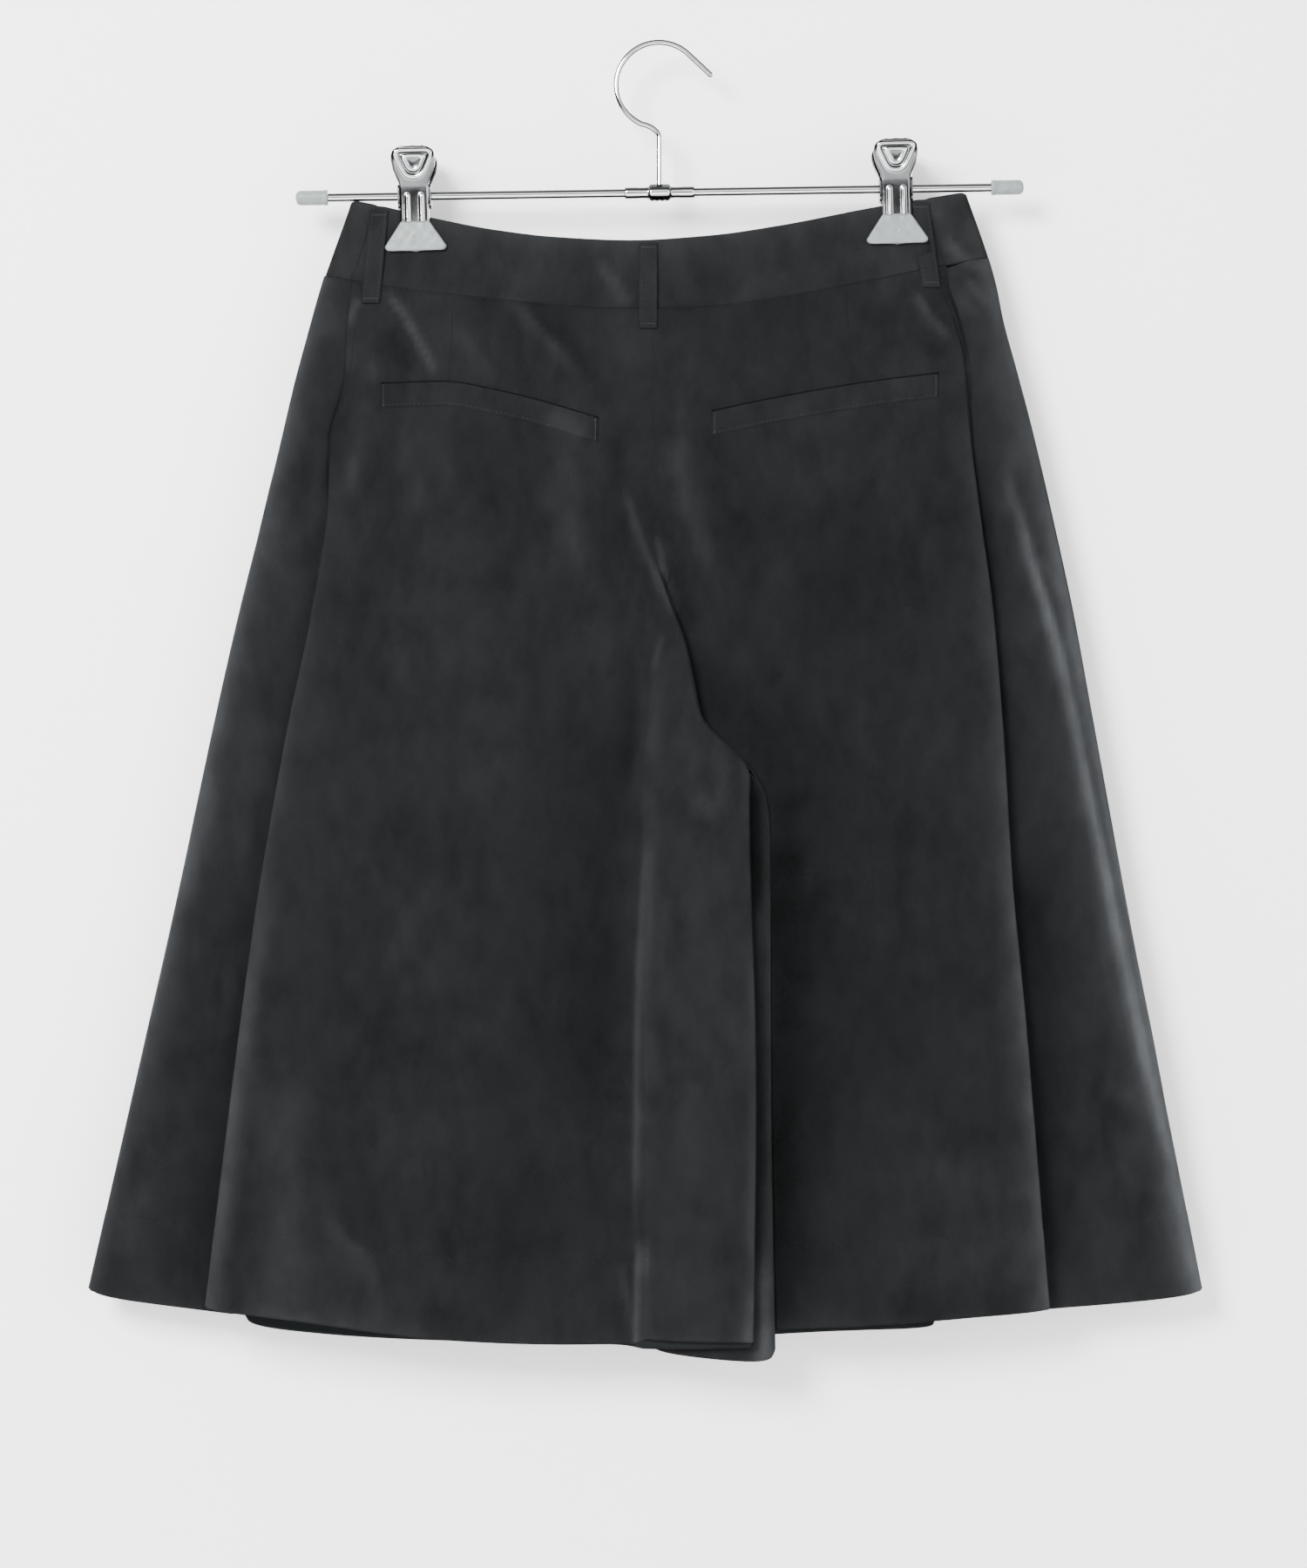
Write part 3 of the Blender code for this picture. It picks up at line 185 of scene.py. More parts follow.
def light_hidden_side():
    """The garment's front hangs close to the wall. Two lights behind the wall pass it and reach that side."""
    passed = bpy.data.collections.new("passed by the light")
    passed.objects.link(WALL)
    passed.collection_objects[0].light_linking.link_state = "EXCLUDE"
    for name, place, power in (("far window", (1.25, 2.3, 0.6), 310), ("far bounce", (-1.9, 2.1, -0.2), 150)):
        light = soft_light(name, place, 1.2, power)
        light.light_linking.blocker_collection = passed
        light.light_linking.receiver_collection = passed


def light_room():
    """An even, pale room. Steel mirrors a darker one with bright windows, as in a real studio."""
    SCENE.world = bpy.data.worlds.new("room")
    SCENE.world.use_nodes = True
    tree = SCENE.world.node_tree
    where = add(tree, "ShaderNodeTexCoord").outputs["Generated"]
    height = add(tree, "ShaderNodeSeparateXYZ", {"Vector": where}).outputs["Z"]
    share = add(tree, "ShaderNodeMapRange", {"Value": height, "From Min": -1}).outputs["Result"]
    ramp = add(tree, "ShaderNodeValToRGB", {"Fac": share})
    stops = ramp.color_ramp.elements
    stops[0].position, stops[0].color = 0, (0.30, 0.30, 0.31, 1)
    stops[1].position, stops[1].color = 1, (0.9, 0.9, 0.9, 1)
    for place, grey in ROOM_GREYS:
        stops.new(place).color = (grey, grey, grey * 1.01, 1)
    glossy = add(tree, "ShaderNodeLightPath").outputs["Is Glossy Ray"]
    seen = add(tree, "ShaderNodeMix", {"Factor": glossy, 6: (0.84, 0.84, 0.845, 1), 7: ramp.outputs["Color"]},
               data_type="RGBA")
    feed(tree, tree.nodes["Background"], {"Color": seen.outputs[2], "Strength": ROOM_STRENGTH})


soft_light("window light", (-1.05, -1.95, 0.60), 0.85, 165, (1, 0.998, 0.996))
soft_light("bounce light", (1.9, -1.8, -0.2), 1.6, 46)
light_hidden_side()
light_room()

# %% [markdown]
# ## Finishes
#
# The cloth's short pile lies in all directions: where it was brushed one way it looks almost black,
# and where it was brushed the other way it turns a soft grey-green. That is one effect in every
# cloth finish, so it is a shader node group, placed in each material with its own values. The pile
# also glows a little where it is seen edge-on, which is what the shader's sheen does. The group also
# takes an attribute of listed strokes, which holds painted shade and painted highlights besides
# the pile's own tone.

# %% Short names for the nodes that every finish uses


def start_group(name, outputs, **inputs):
    """A shader node group with its sockets, what it is given and where its results go."""
    group = bpy.data.node_groups.new(name, "ShaderNodeTree")
    for title, value in inputs.items():
        socket(group, title, "NodeSocketFloat", "INPUT", value)
    for title in outputs:
        socket(group, title, "NodeSocketFloat", "OUTPUT")
    return group, group.nodes.new("NodeGroupInput").outputs, group.nodes.new("NodeGroupOutput")


def times_plus(tree, value, factor, more):
    return add(tree, "ShaderNodeMath", {0: value, 1: factor, 2: more}, operation="MULTIPLY_ADD").outputs[0]


def spread(tree, value, low=0, high=1, to_low=0, to_high=1):
    """The value moved from one range to another, and held inside it."""
    ends = {"From Min": low, "From Max": high, "To Min": to_low, "To Max": to_high}
    return add(tree, "ShaderNodeMapRange", {"Value": value, **ends}).outputs["Result"]


def patches_of(tree, where, scale, detail, rough=0.5, bent=0):
    look = {"Scale": scale, "Detail": detail, "Roughness": rough, "Distortion": bent}
    return add(tree, "ShaderNodeTexNoise", {"Vector": where, **look}).outputs["Fac"]


def between(tree, share, dark, light):
    """A colour between two others."""
    return add(tree, "ShaderNodeMix", {"Factor": share, 6: (*dark, 1), 7: (*light, 1)},
               data_type="RGBA").outputs[2]


def dimmed(tree, colour, share):
    return add(tree, "ShaderNodeVectorMath", {0: colour, "Scale": share}, operation="SCALE").outputs[0]


def relief(tree, height, strength, distance):
    inputs = {"Height": height, "Strength": strength, "Distance": distance}
    return add(tree, "ShaderNodeBump", inputs).outputs["Normal"]


# %% The pile and its painted light, as a node group


def make_pile_group():
    """Patches of pile brushed this way and that, over two sizes, the fine grain of the pile itself, and the
    listed strokes with their painted shade and painted highlights.
    """
    group, given, out = start_group(
        "brushed pile and painted light", ("Light", "Height"), Patches=16, Strokes=95, Grain=1500, Lift=0)
    where = add(group, "ShaderNodeTexCoord").outputs["Object"]
    along = add(group, "ShaderNodeMapping", {"Vector": where, "Scale": (1, 1, 0.55)}).outputs["Vector"]
    patches = patches_of(group, along, given["Patches"], 4, 0.55, 0.3)
    strokes = patches_of(group, along, given["Strokes"], 5, 0.62)
    grain = patches_of(group, along, given["Grain"], 2)
    small = spread(group, strokes, 0.30, 0.75)
    by_hand = spread(group, small, to_low=0.28, to_high=0.44)  # a stroke shows more in loose pile
    # the attribute adds the listed strokes: pile tone, painted shade and painted highlights
    level = times_plus(group, given["Lift"], by_hand, -0.02)
    level = times_plus(group, patches, 0.17, level)
    level = times_plus(group, small, 0.07, level)
    height = times_plus(group, small, 0.6, grain)
    feed(group, out, {"Light": times_plus(group, grain, 0.09, level), "Height": height})
    return group


PILE = make_pile_group()


def pile_cloth(name, patches):
    """Cloth whose pile shows dark or light, with an attribute that adds the listed strokes: pile tone,
    painted shade and painted highlights.
    """
    made, tree, shader = start_finish(name)
    strokes = add(tree, "ShaderNodeAttribute", attribute_name="tone_and_painted_light").outputs["Fac"]
    pile = add(tree, "ShaderNodeGroup", node_tree=PILE)
    feed(tree, pile, {"Patches": patches, "Lift": strokes})
    light = pile.outputs["Light"]
    shade = between(tree, light, (0.0011, 0.00116, 0.00122), (0.0350, 0.0371, 0.0394))
    # where the light passes 1, at the strongest painted highlights, the colour grows up to one and a half
    # times lighter
    feed(tree, shader, {
        "Base Color": dimmed(tree, shade, spread(tree, light, 1, 1.8, 1, 1.5)),
        "Roughness": spread(tree, light, to_low=0.92, to_high=0.7),
        "Normal": relief(tree, pile.outputs["Height"], 0.45, 0.0004),
        "Specular IOR Level": 0.02, "Sheen Weight": 0.030, "Sheen Roughness": 0.22,
        "Sheen Tint": (0.74, 0.80, 0.84, 1)})
    return made


CLOTH = pile_cloth("pile cloth", 16)
TRIM = pile_cloth("pile cloth, trimmings", 28)
print("cloth finishes:", CLOTH.name, "and", TRIM.name)

# %% The woven side of the cloth, the thread and the button


def make_weave_group():
    """The fine twill that shows on the side without pile."""
    group, given, out = start_group("fine twill", ("Mask",), Ribs=900)
    where = add(group, "ShaderNodeTexCoord").outputs["Object"]
    ribs = add(group, "ShaderNodeTexWave", {
        "Vector": where, "Scale": given["Ribs"], "Distortion": 0.6, "Detail": 1},
        bands_direction="DIAGONAL").outputs["Fac"]
    fade = patches_of(group, where, 60, 3)
    mask = add(group, "ShaderNodeMath", {0: ribs, 1: fade}, operation="MULTIPLY").outputs[0]
    feed(group, out, {"Mask": mask})
    return group


TWILL = make_weave_group()


def woven(name, dark, light, ribs, roughness, bump, gloss=0.5):
    made, tree, shader = start_finish(name)
    weave = add(tree, "ShaderNodeGroup", node_tree=TWILL)
    weave.inputs["Ribs"].default_value = ribs
    mask = weave.outputs["Mask"]
    feed(tree, shader, {
        "Base Color": between(tree, mask, dark, light), "Normal": relief(tree, mask, bump, 0.0002),
        "Roughness": roughness, "Specular IOR Level": gloss})
    return made


def horn():
    made, tree, shader = start_finish("dark horn")
    where = add(tree, "ShaderNodeTexCoord").outputs["Object"]
    veins = patches_of(tree, where, 160, 4, bent=2.5)
    shade = between(tree, veins, (0.006, 0.006, 0.007), (0.035, 0.032, 0.030))
    feed(tree, shader, {"Base Color": shade, "Roughness": 0.28})
    return made


WRONG_SIDE = woven("wrong side of the cloth", (0.0034, 0.0043, 0.0046), (0.0085, 0.0104, 0.011),
                   900, 0.8, 0.4, 0.08)
THREAD = woven("thread", (0.0030, 0.0037, 0.0039), (0.0062, 0.0077, 0.0081), 2600, 0.55, 0.6)
HORN = horn()

# %% [markdown]
# Steel and soft plastic share another effect: handling marks. Steel gets faint rubbed patches in
# its gloss, and the grey plastic of the grips and caps gets a dusty mottling. The group puts out a
# mask and a height, and each finish uses them in its own way.

# %% Steel and soft plastic


def make_wear_group():
    group, given, out = start_group("handling marks", ("Mask", "Height"), Size=120, Scratches=900)
    where = add(group, "ShaderNodeTexCoord").outputs["Object"]
    drawn = add(group, "ShaderNodeMapping", {"Vector": where, "Scale": (0.08, 1, 1)}).outputs["Vector"]
    patches = patches_of(group, where, given["Size"], 4)
    lines = patches_of(group, drawn, given["Scratches"], 2)
    feed(group, out, {"Mask": spread(group, patches, 0.35, 0.7), "Height": lines})
    return group


WEAR = make_wear_group()


def handled(name, clean, marked, roughness, bump, metallic=1, size=120, scratches=900, gloss=0.5):
    """A finish that is duller and a little darker where it was handled."""
    made, tree, shader = start_finish(name)
    wear = add(tree, "ShaderNodeGroup", node_tree=WEAR)
    feed(tree, wear, {"Size": size, "Scratches": scratches})
    mask = wear.outputs["Mask"]
    feed(tree, shader, {
        "Base Color": between(tree, mask, clean, marked),
        "Roughness": spread(tree, mask, to_low=roughness[0], to_high=roughness[1]),
        "Normal": relief(tree, wear.outputs["Height"], bump, 0.0001),
        "Metallic": metallic, "Specular IOR Level": gloss})
    return made


def paint_steel_reflection(made, flat):
    """Painted reflection on steel: its colour darkens towards its outline, and flat is how light it is away
    from the painted highlights on raised lines.
    """
    tree = made.node_tree
    shader = tree.nodes["Principled BSDF"]
    turned = add(tree, "ShaderNodeLayerWeight", {"Blend": 0.5}).outputs["Facing"]
    raised = add(tree, "ShaderNodeAttribute", attribute_name="tone_and_painted_light").outputs["Fac"]
    tone = add(tree, "ShaderNodeMath", {
        0: spread(tree, turned, 0.05, 0.17, 1, 0.05), 1: spread(tree, raised, to_low=flat)},
        operation="MULTIPLY").outputs[0]
    colour = shader.inputs["Base Color"].links[0].from_socket
    feed(tree, shader, {"Base Color": dimmed(tree, colour, tone)})


CHROME = handled("bright chrome", (0.80, 0.81, 0.82), (0.72, 0.73, 0.75), (0.06, 0.16), 0.05)
DULL_CHROME = handled("pressed steel", (0.80, 0.81, 0.83), (0.66, 0.67, 0.69), (0.16, 0.26), 0.15)
SPRING = handled("spring wire", (0.30, 0.30, 0.31), (0.22, 0.22, 0.23), (0.25, 0.4), 0.1)
SOFT = handled("grey soft plastic", (0.145, 0.166, 0.163), (0.11, 0.126, 0.124), (0.42, 0.6), 0.25,
               metallic=0, size=240, scratches=600)
# a dark finish for the cord in each pocket mouth: painted shade where the slit lies in shadow
MOUTH = handled("painted shade in the pocket mouths", (0.0022, 0.0024, 0.0026), (0.0016, 0.0018, 0.0020), (0.95, 1), 0,
                metallic=0, gloss=0)
# painted reflections: all steel darkens at its outline, and the pressed steel is dimmed away from its painted
# highlights
paint_steel_reflection(CHROME, 1)
paint_steel_reflection(DULL_CHROME, 0.20)
print("hard finishes:", [finish.name for finish in (CHROME, DULL_CHROME, SPRING, SOFT, HORN)])

# %% [markdown]
# ## The pattern of the garment
#
# A pair of trousers is two back panels and two front panels, joined at the side seams, at the seat
# seam and, below the fork, at the inseams. Here both legs are far wider than the hanger, so each
# panel hangs folded: once near its side, and at the fork in a Z over its neighbours. The tables hold
# where each fold runs, by level, and the panels are drawn through those lines with a soft curve.

# %% Side folds, by level
CLOTH_WALL = 1.1  # wall of a single layer of the panels
BAND_CLOTH = 2.0  # the waistband is two layers sewn together
SEAM_GAP = 0.3  # between pieces that are sewn to each other
SEAM_STEP = SEAM_GAP / 2
TURNED_STEP = 0.35  # each side of a seam whose edges are turned towards each other
FRONT_TURNED_STEP = 0.8
ROLLING_STEP = 0.6  # more room for a seam where it starts to roll over
BAND_GAP = 0.5  # between the waistband and the panels

# First for the left leg, then for the right one: a level, and where the leg's outer edge, the back
# panel's lengthwise fold and the front panel's fold lie there. Then for both legs: how far the back
# fold turns back under itself and how deep its valley lies, and the same for the front fold.
SIDE_COLUMNS = "level edge fold front_fold turn sink front_turn front_sink"
SIDE_FOLDS = (
    (84, -169.5, -157, -132, 82, 168.5, 146, 112, -5, 0.4, -6, 0.4),
    (132, -185.6, -162, -138, 130, 184.2, 151.5, 115, -4, 0.4, -6, 0.4),
    (160, -193.5, -166.5, -141, 153, 189, 160, 117, -2.5, 2, -6, 0.5),
    (186, -200.5, -170, -145, 178, 195.8, 167, 119, 0, 3.2, -5, 0.8),
    (220, -208.5, -180, -150, 209, 204, 169.5, 122, 2, 4, -3, 1.5),
    (260, -218, -182, -157, 263, 216.6, 176, 127, 4, 4.8, 0, 3),
    (312, -231, -190, -168, 312, 227.2, 182.5, 131, 8, 5.6, 3, 4),
    (374, -245, -203, -180, 374, 238.6, 187.5, 135, 11, 6.6, 6, 5),
    (473, -266, -220, -198, 464, 255, 193, 140, 14, 8.4, 10, 6.5),
    (555, -284.5, -231, -211, 531, 267.8, 199.3, 144, 17, 10.2, 13, 7.5),
    (692, -315.6, -247.3, -229, 692, 299.5, 212.2, 152.5, 21, 13, 17, 9),
    (730, -324.3, -251.5, -234, 730, 307, 215.5, 154.5, 22, 13.6, 18, 9.4),
)

# %% The fork, by level
# At the fork both layers lie folded over each other in a Z towards the right. seam and
# right_seam: the seat seam, then each leg's inseam. inset: how far the front seam lies inside the
# back one. near and layer: depth of the nearest layer, and from one layer to the next. crest: where
# the left panel rides up onto the folded layers. step: by how much. fold and front_fold: from 0,
# flat, to 1, folded. split: from 0, back joined to back, to 1, each leg closed by its own inseam.
FORK_COLUMNS = "level seam right_seam inset near layer crest step fold front_fold split"
FORK = (
    (84, -3.4, -3.4, 0, -8, 2.2, -9, 0, 0, 0, 0),
    (200, -3.4, -3.4, 0, -13, 2.2, -9, 0, 0, 0, 0),
    (276, -3, -3, 0, -16, 2.3, -9, 0, 0, 0, 0),
    (305, 4.6, 4.6, 9, -18, 2.3, -7, 0, 0.8, 0.1, 0),
    (330, 13.8, 13.8, 12.6, -20, 2.5, -3, 1, 1, 0.9, 0),
    (350, 18.2, 18.2, 5, -21.2, 2.7, -2, 2.6, 1, 1, 0),
    (370, 22.6, 22.6, 4.2, -22.3, 2.8, -2.4, 4, 1, 1, 0),
    (385, 35.6, 35.6, 3.8, -23.1, 2.9, -3, 5, 1, 1, 0),
    (396, 46.6, 47, 3.4, -23.7, 2.9, -3.2, 5.4, 1, 1, 0),
    (404, 49, 53, 1.6, -24.1, 2.9, -3.4, 5.6, 1, 1, 0.5),
    (414, 48.4, 58, 0, -24.4, 3, -3.6, 5.8, 1, 1, 1),
    (436, 48.6, 60, 0, -25, 3.1, -4.2, 6.2, 1, 1, 1),
    (570, 52, 60.4, 0, -28, 3.8, -7.1, 7, 1, 1, 1),
    (730, 50, 62.6, 0, -31, 4.6, -7.1, 7.4, 1, 1, 1),
)

# %% Depths of the hanging cloth, by level
# The back panels between fork and fold, the back and front layers of the outer part, and the front
# panels between fold and fork.
DEPTH_COLUMNS = "level inner middle outer fold wing front_wing front_fold front_middle front_inner pit"
LEFT_DEPTH = (
    (84, -6.5, -2.6, -1.8, -2.4, -2, 2, 1.8, 3, 7, 8),
    (140, -8.6, -5.6, -4.2, -3.6, -3, 3, 4, 5.6, 8, 9),
    (200, -13, -12, -9.5, -7, -3.4, 5, 8, 11, 12, 11),
    (282, -17, -17, -14, -10, -4, 6, 12, 16, 14, 10),
    (330, -18.6, -19, -16, -11.6, -4.4, 6.4, 14, 17.5, 12, 0),
    (402, -20, -22, -19, -14, -5, 7, 16, 19, 9, -8),
    (570, -24, -26, -23, -19, -6, 9, 19, 21, 9, -9),
    (730, -27, -29.5, -27.5, -24.5, -7, 11, 22, 23, 9, -9),
)
RIGHT_DEPTH = (
    LEFT_DEPTH[0],
    (140, -8, -5.6, -4.2, -3.6, -3, 3, 4, 5.6, 8, 9),
    LEFT_DEPTH[2],
    (282, -16, -17, -14, -10, -4, 6, 12, 16, 14, 10),
    (330, -15, -19, -16, -11.6, -4.4, 6.4, 14, 17.5, 12, 0),
    (402, -15.5, -22, -19, -14, -5, 7, 16, 19, 9, -6),
    (570, -17, -24, -22, -18, -6, 9, 19, 21, 9, -6),
    (730, -17, -25.5, -25, -22.5, -7, 11, 22, 23, 10, -5),
)

# Upper edge of the waistband and its lower seam at the back, across the garment.
BAND_TOP = ((-190, 84), (-169, 86.5), (-123, 96.5), (-91, 102.7), (-59, 107), (-15, 109.3),
            (27, 106.6), (60, 101.8), (113, 91.2), (168, 82), (190, 79))
BAND_SEAM = ((-192, 126), (-164, 131.6), (-135, 136), (-86, 141.6), (-25, 147), (6, 147),
             (78, 138), (142, 125.3), (156, 122.4), (192, 115))
FRONT_DIP = 12.0  # how much lower the front waist is at its middle
FRONT_REACH = 170.0

# Levels of the hem at some lines of each panel; it runs evenly between them.
HEMS = {
    "back_panel_left": dict(
        seam=709.4, strip=708.6, crest=707.2, foot=711, inner=711, middle=706.5, outer=697, fold=690.6,
        side_seam=694),
    "back_panel_right": dict(
        seam=714, flap_edge=718, flap=716, fork_fold=711, foot=704.4, inner=704, middle=700.6, outer=696,
        fold=692.2, side_seam=694.5),
    "front_panel_left": dict(
        side_seam=697, wing=691, edge=683.3, front_wing=690, front_fold=704, middle=716, inner=715, pit=713,
        strip=713, seam=711),
    "front_panel_right": dict(
        side_seam=695.6, wing=690.6, edge=683.6, front_wing=690, front_fold=707.6, middle=711, inner=711.6,
        pit=711, fork_fold=712.4, flap=719.6, flap_edge=721.6, seam=714.2),
}

# %% Reading the tables


def table(columns, rows):
    """Columns of a table by name."""
    return dict(zip(columns.split(), np.array(rows, float).T))


SIDES = {
    "left": table(SIDE_COLUMNS, [row[:4] + row[8:] for row in SIDE_FOLDS]),
    "right": table(SIDE_COLUMNS, [row[4:] for row in SIDE_FOLDS]),
}
DEPTHS = {"left": table(DEPTH_COLUMNS, LEFT_DEPTH), "right": table(DEPTH_COLUMNS, RIGHT_DEPTH)}
FORKS = table(FORK_COLUMNS, FORK)


def smooth(at, known, values):
    """A smooth curve through known points that never overshoots them."""
    known, values = np.asarray(known, float), np.asarray(values, float)
    step = np.diff(known)
    slope = np.diff(values) / step
    tangent = np.zeros(len(known))
    same_way = slope[:-1] * slope[1:] > 0
    before, after = (np.where(same_way, part, 1.0) for part in (slope[:-1], slope[1:]))
    tangent[1:-1] = np.where(same_way, 2 * before * after / (before + after), 0.0)
    tangent[0], tangent[-1] = slope[0], slope[-1]
    at = np.clip(at, known[0], known[-1])
    i = np.clip(np.searchsorted(known, at) - 1, 0, len(step) - 1)
    t = (at - known[i]) / step[i]
    start = values[i] * (1 + 2 * t) * (1 - t) ** 2 + tangent[i] * step[i] * t * (1 - t) ** 2
    end = values[i + 1] * t**2 * (3 - 2 * t) + tangent[i + 1] * step[i] * t**2 * (t - 1)
    return start + end


def read(columns, level):
    """Every column of a table at some levels, by name."""
    known = columns["level"]
    return SimpleNamespace(**{name: smooth(level, known, values) for name, values in columns.items()})


def across(points, x):
    return smooth(x, *zip(*points))


def front_dip(x):
    return FRONT_DIP * np.clip(1 - (x / FRONT_REACH) ** 2, 0, 1)


# %% [markdown]
# ## Soft curves through the folds
#
# Each panel is a grid: columns run down the cloth and rows run across it. Across, a cubic B-spline
# passes near a row of named lines ("fold", "valley", "side seam"...), as cloth rounds its folds and
# never kinks. Narrow spans between lines get few columns and the wide ones more.

# %% Spline weights
WIDE_LINES = ("foot_out", "inner", "middle", "outer", "strip", "flap", "wing_root", "wing",
              "front_wing", "pit", "front_shoulder", "fold_shoulder")
WIDE_STEPS, NARROW_STEPS = 14, 6


def spline_weights(names):
    """Rows of cubic B-spline weights on the lines; the curve starts and ends on its outer ones."""
    places = [0.0]
    for span, (name, after) in enumerate(zip(names, names[1:])):
        steps = WIDE_STEPS if name in WIDE_LINES and after in WIDE_LINES else NARROW_STEPS
        places += [span + step / steps for step in range(1, steps + 1)]
    count = len(names)
    weights = np.zeros((len(places), count))
    for row, place in enumerate(places):
        span = min(int(place), count - 2)
        t = place - span
        basis = ((1 - t) ** 3, 3 * t**3 - 6 * t**2 + 4, -3 * t**3 + 3 * t**2 + 3 * t + 1, t**3)
        for index, weight in enumerate(basis, span - 1):
            if 0 <= index < count:
                weights[row, index] += weight / 6
                continue
            end, inside = (0, 1) if index < 0 else (count - 1, count - 2)
            weights[row, end] += 2 * weight / 6  # a point mirrored in the end one
            weights[row, inside] -= weight / 6
    return weights


# %% The back panels' lines
STRIP_EDGE = 5.0  # from the edge of the strip or the flap to the line that keeps it flat
BACK_STEP, FRONT_STEP = 1.9, 2.4  # between the fork's lines above the fork, where they lie flat


def side_lines(side, level):
    """The back panel's fold at the side: its control points from the panel out to the side seam."""
    at = read(SIDES[side], level)
    depth = read(DEPTHS[side], level).fold
    out = OUTWARD[side]
    folded = np.clip((at.turn + 5) / 7, 0, 1)
    valley = at.fold - out * at.turn
    return {
        "fold_shoulder": (at.fold - out * 8.0, depth),
        "fold": (at.fold, depth),
        "fold_back": (at.fold + out * 1.6 * (1 - folded), depth + blend(0.1 * at.sink, 1.5, folded)),
        "turn": (at.fold - out * 0.5 * at.turn, depth + 0.55 * at.sink + 0.5 * folded),
        "valley": (valley + out * 0.6, depth + at.sink - 0.9 * folded),
        "side_seam": (valley + out * 3.0, depth + at.sink),
    }


def fold_up(lines, share, seam, step, flat):
    """The fork's lines: folded where share is 1, and side by side from the seam where it is 0."""
    orders = range(len(lines)) if next(iter(lines)) == "seam" else reversed(range(len(lines)))
    return {
        name: (blend(seam + step * order, x, share), blend(flat, y, share))
        for order, (name, (x, y)) in zip(orders, lines.items())
    }


def left_back_lines(level):
    fork, depth = read(FORKS, level), read(DEPTHS["left"], level)
    near, seam, crest = fork.near, fork.seam, fork.crest
    closing = blend(1.5, 0.5, fork.split) * fork.layer * fork.fold
    flat = 1 - fork.fold
    fold = read(SIDES["left"], level).fold
    return {
        "seam": (seam - SEAM_STEP * flat, near + closing - TURNED_STEP * fork.fold),
        "seam_turn": (seam - 1.2 * flat, near + 0.25 * closing),
        "strip_edge": (seam - np.minimum(STRIP_EDGE, 0.3 * (seam - crest)) - 0.4 * flat, near),
        "strip": (blend(crest, seam, 0.5), near),
        "strip_crest": (crest + 1.6, near + 0.05 * fork.step),
        "crest": (crest - 0.6, near + 0.2 * fork.step),
        "foot": (crest - 6.4, near + fork.step),
        "foot_out": (crest - 13.0, near + 1.08 * fork.step),
        "inner": (blend(crest, fold, 0.3), depth.inner),
        "middle": (blend(crest, fold, 0.55), depth.middle),
        "outer": (blend(crest, fold, 0.8), depth.outer),
        **side_lines("left", level),
    }


def right_back_lines(level):
    fork, depth = read(FORKS, level), read(DEPTHS["right"], level)
    seam = fork.right_seam
    under, far = fork.near + 3 * fork.layer, fork.near + 4 * fork.layer
    valley = np.minimum(fork.crest + 6.0, seam - 1.0)
    edge = np.minimum(STRIP_EDGE, 0.3 * (seam - valley))
    closing = fork.near + blend(1.5, 2.5, fork.split) * fork.layer
    fold = read(SIDES["right"], level).fold
    flap = {
        "seam": (seam, closing + TURNED_STEP),
        "seam_turn": (seam, blend(under, closing, 0.25)),
        "flap_edge": (seam - edge, under),
        "flap": (blend(valley, seam, 0.5), under),
        "flap_root": (valley + edge, under),
        "fork_fold": (valley, under),
        "fork_fold_back": (valley, far),
        "foot": (valley + 7.0, far),
    }
    rolling = ROLLING_STEP * 4 * fork.fold * (1 - fork.fold)
    return {
        **fold_up(flap, fork.fold, seam + SEAM_STEP + rolling, BACK_STEP, fork.near),
        "inner": (blend(valley, fold, 0.3), depth.inner),
        "middle": (blend(valley, fold, 0.58), depth.middle),
        "outer": (blend(valley, fold, 0.82), depth.outer),
        **side_lines("right", level),
    }


# %% The front panels' lines


def wing_lines(side, level):
    """The front panel from the side seam round the leg's outer edge to its own fold."""
    at, depth = read(SIDES[side], level), read(DEPTHS[side], level)
    out = OUTWARD[side]
    edge = at.edge
    seam_depth = depth.fold + at.sink
    folded = np.clip((at.front_turn + 6) / 8, 0, 1)
    front_valley = at.front_fold - out * at.front_turn
    turned = np.clip((at.turn + 5) / 7, 0, 1)
    start = at.fold - out * at.turn + out * (3.0 + SEAM_GAP + 0.6 * turned)
    return {
        "side_seam": (start, seam_depth),
        "wing_root": (blend(start, edge, 0.3), blend(seam_depth, depth.wing, 0.5)),
        "wing": (blend(start, edge, 0.62), depth.wing),
        "edge_shoulder": (edge - out * 5.0, depth.wing + 0.8),
        "edge": (edge + out * 0.3, -1.6),
        "edge_back": (edge + out * 0.3, 1.6),
        "edge_far": (edge - out * 5.0, depth.front_wing - 1.0),
        "front_wing": (blend(front_valley, edge, 0.5), depth.front_wing),
        "front_valley_in": (front_valley + out * 5.0, depth.front_fold - at.front_sink),
        "front_valley": (front_valley + out * 0.5, depth.front_fold - at.front_sink + 0.9 * folded),
        "front_turn": (at.front_fold - out * 0.5 * at.front_turn, depth.front_fold - 0.55 * at.front_sink),
        "front_fold_back": (at.front_fold + out * 1.2 * (1 - folded), depth.front_fold - 1.4 * folded),
        "front_fold": (at.front_fold, depth.front_fold),
        "front_shoulder": (at.front_fold - out * 8.0, depth.front_fold),
    }


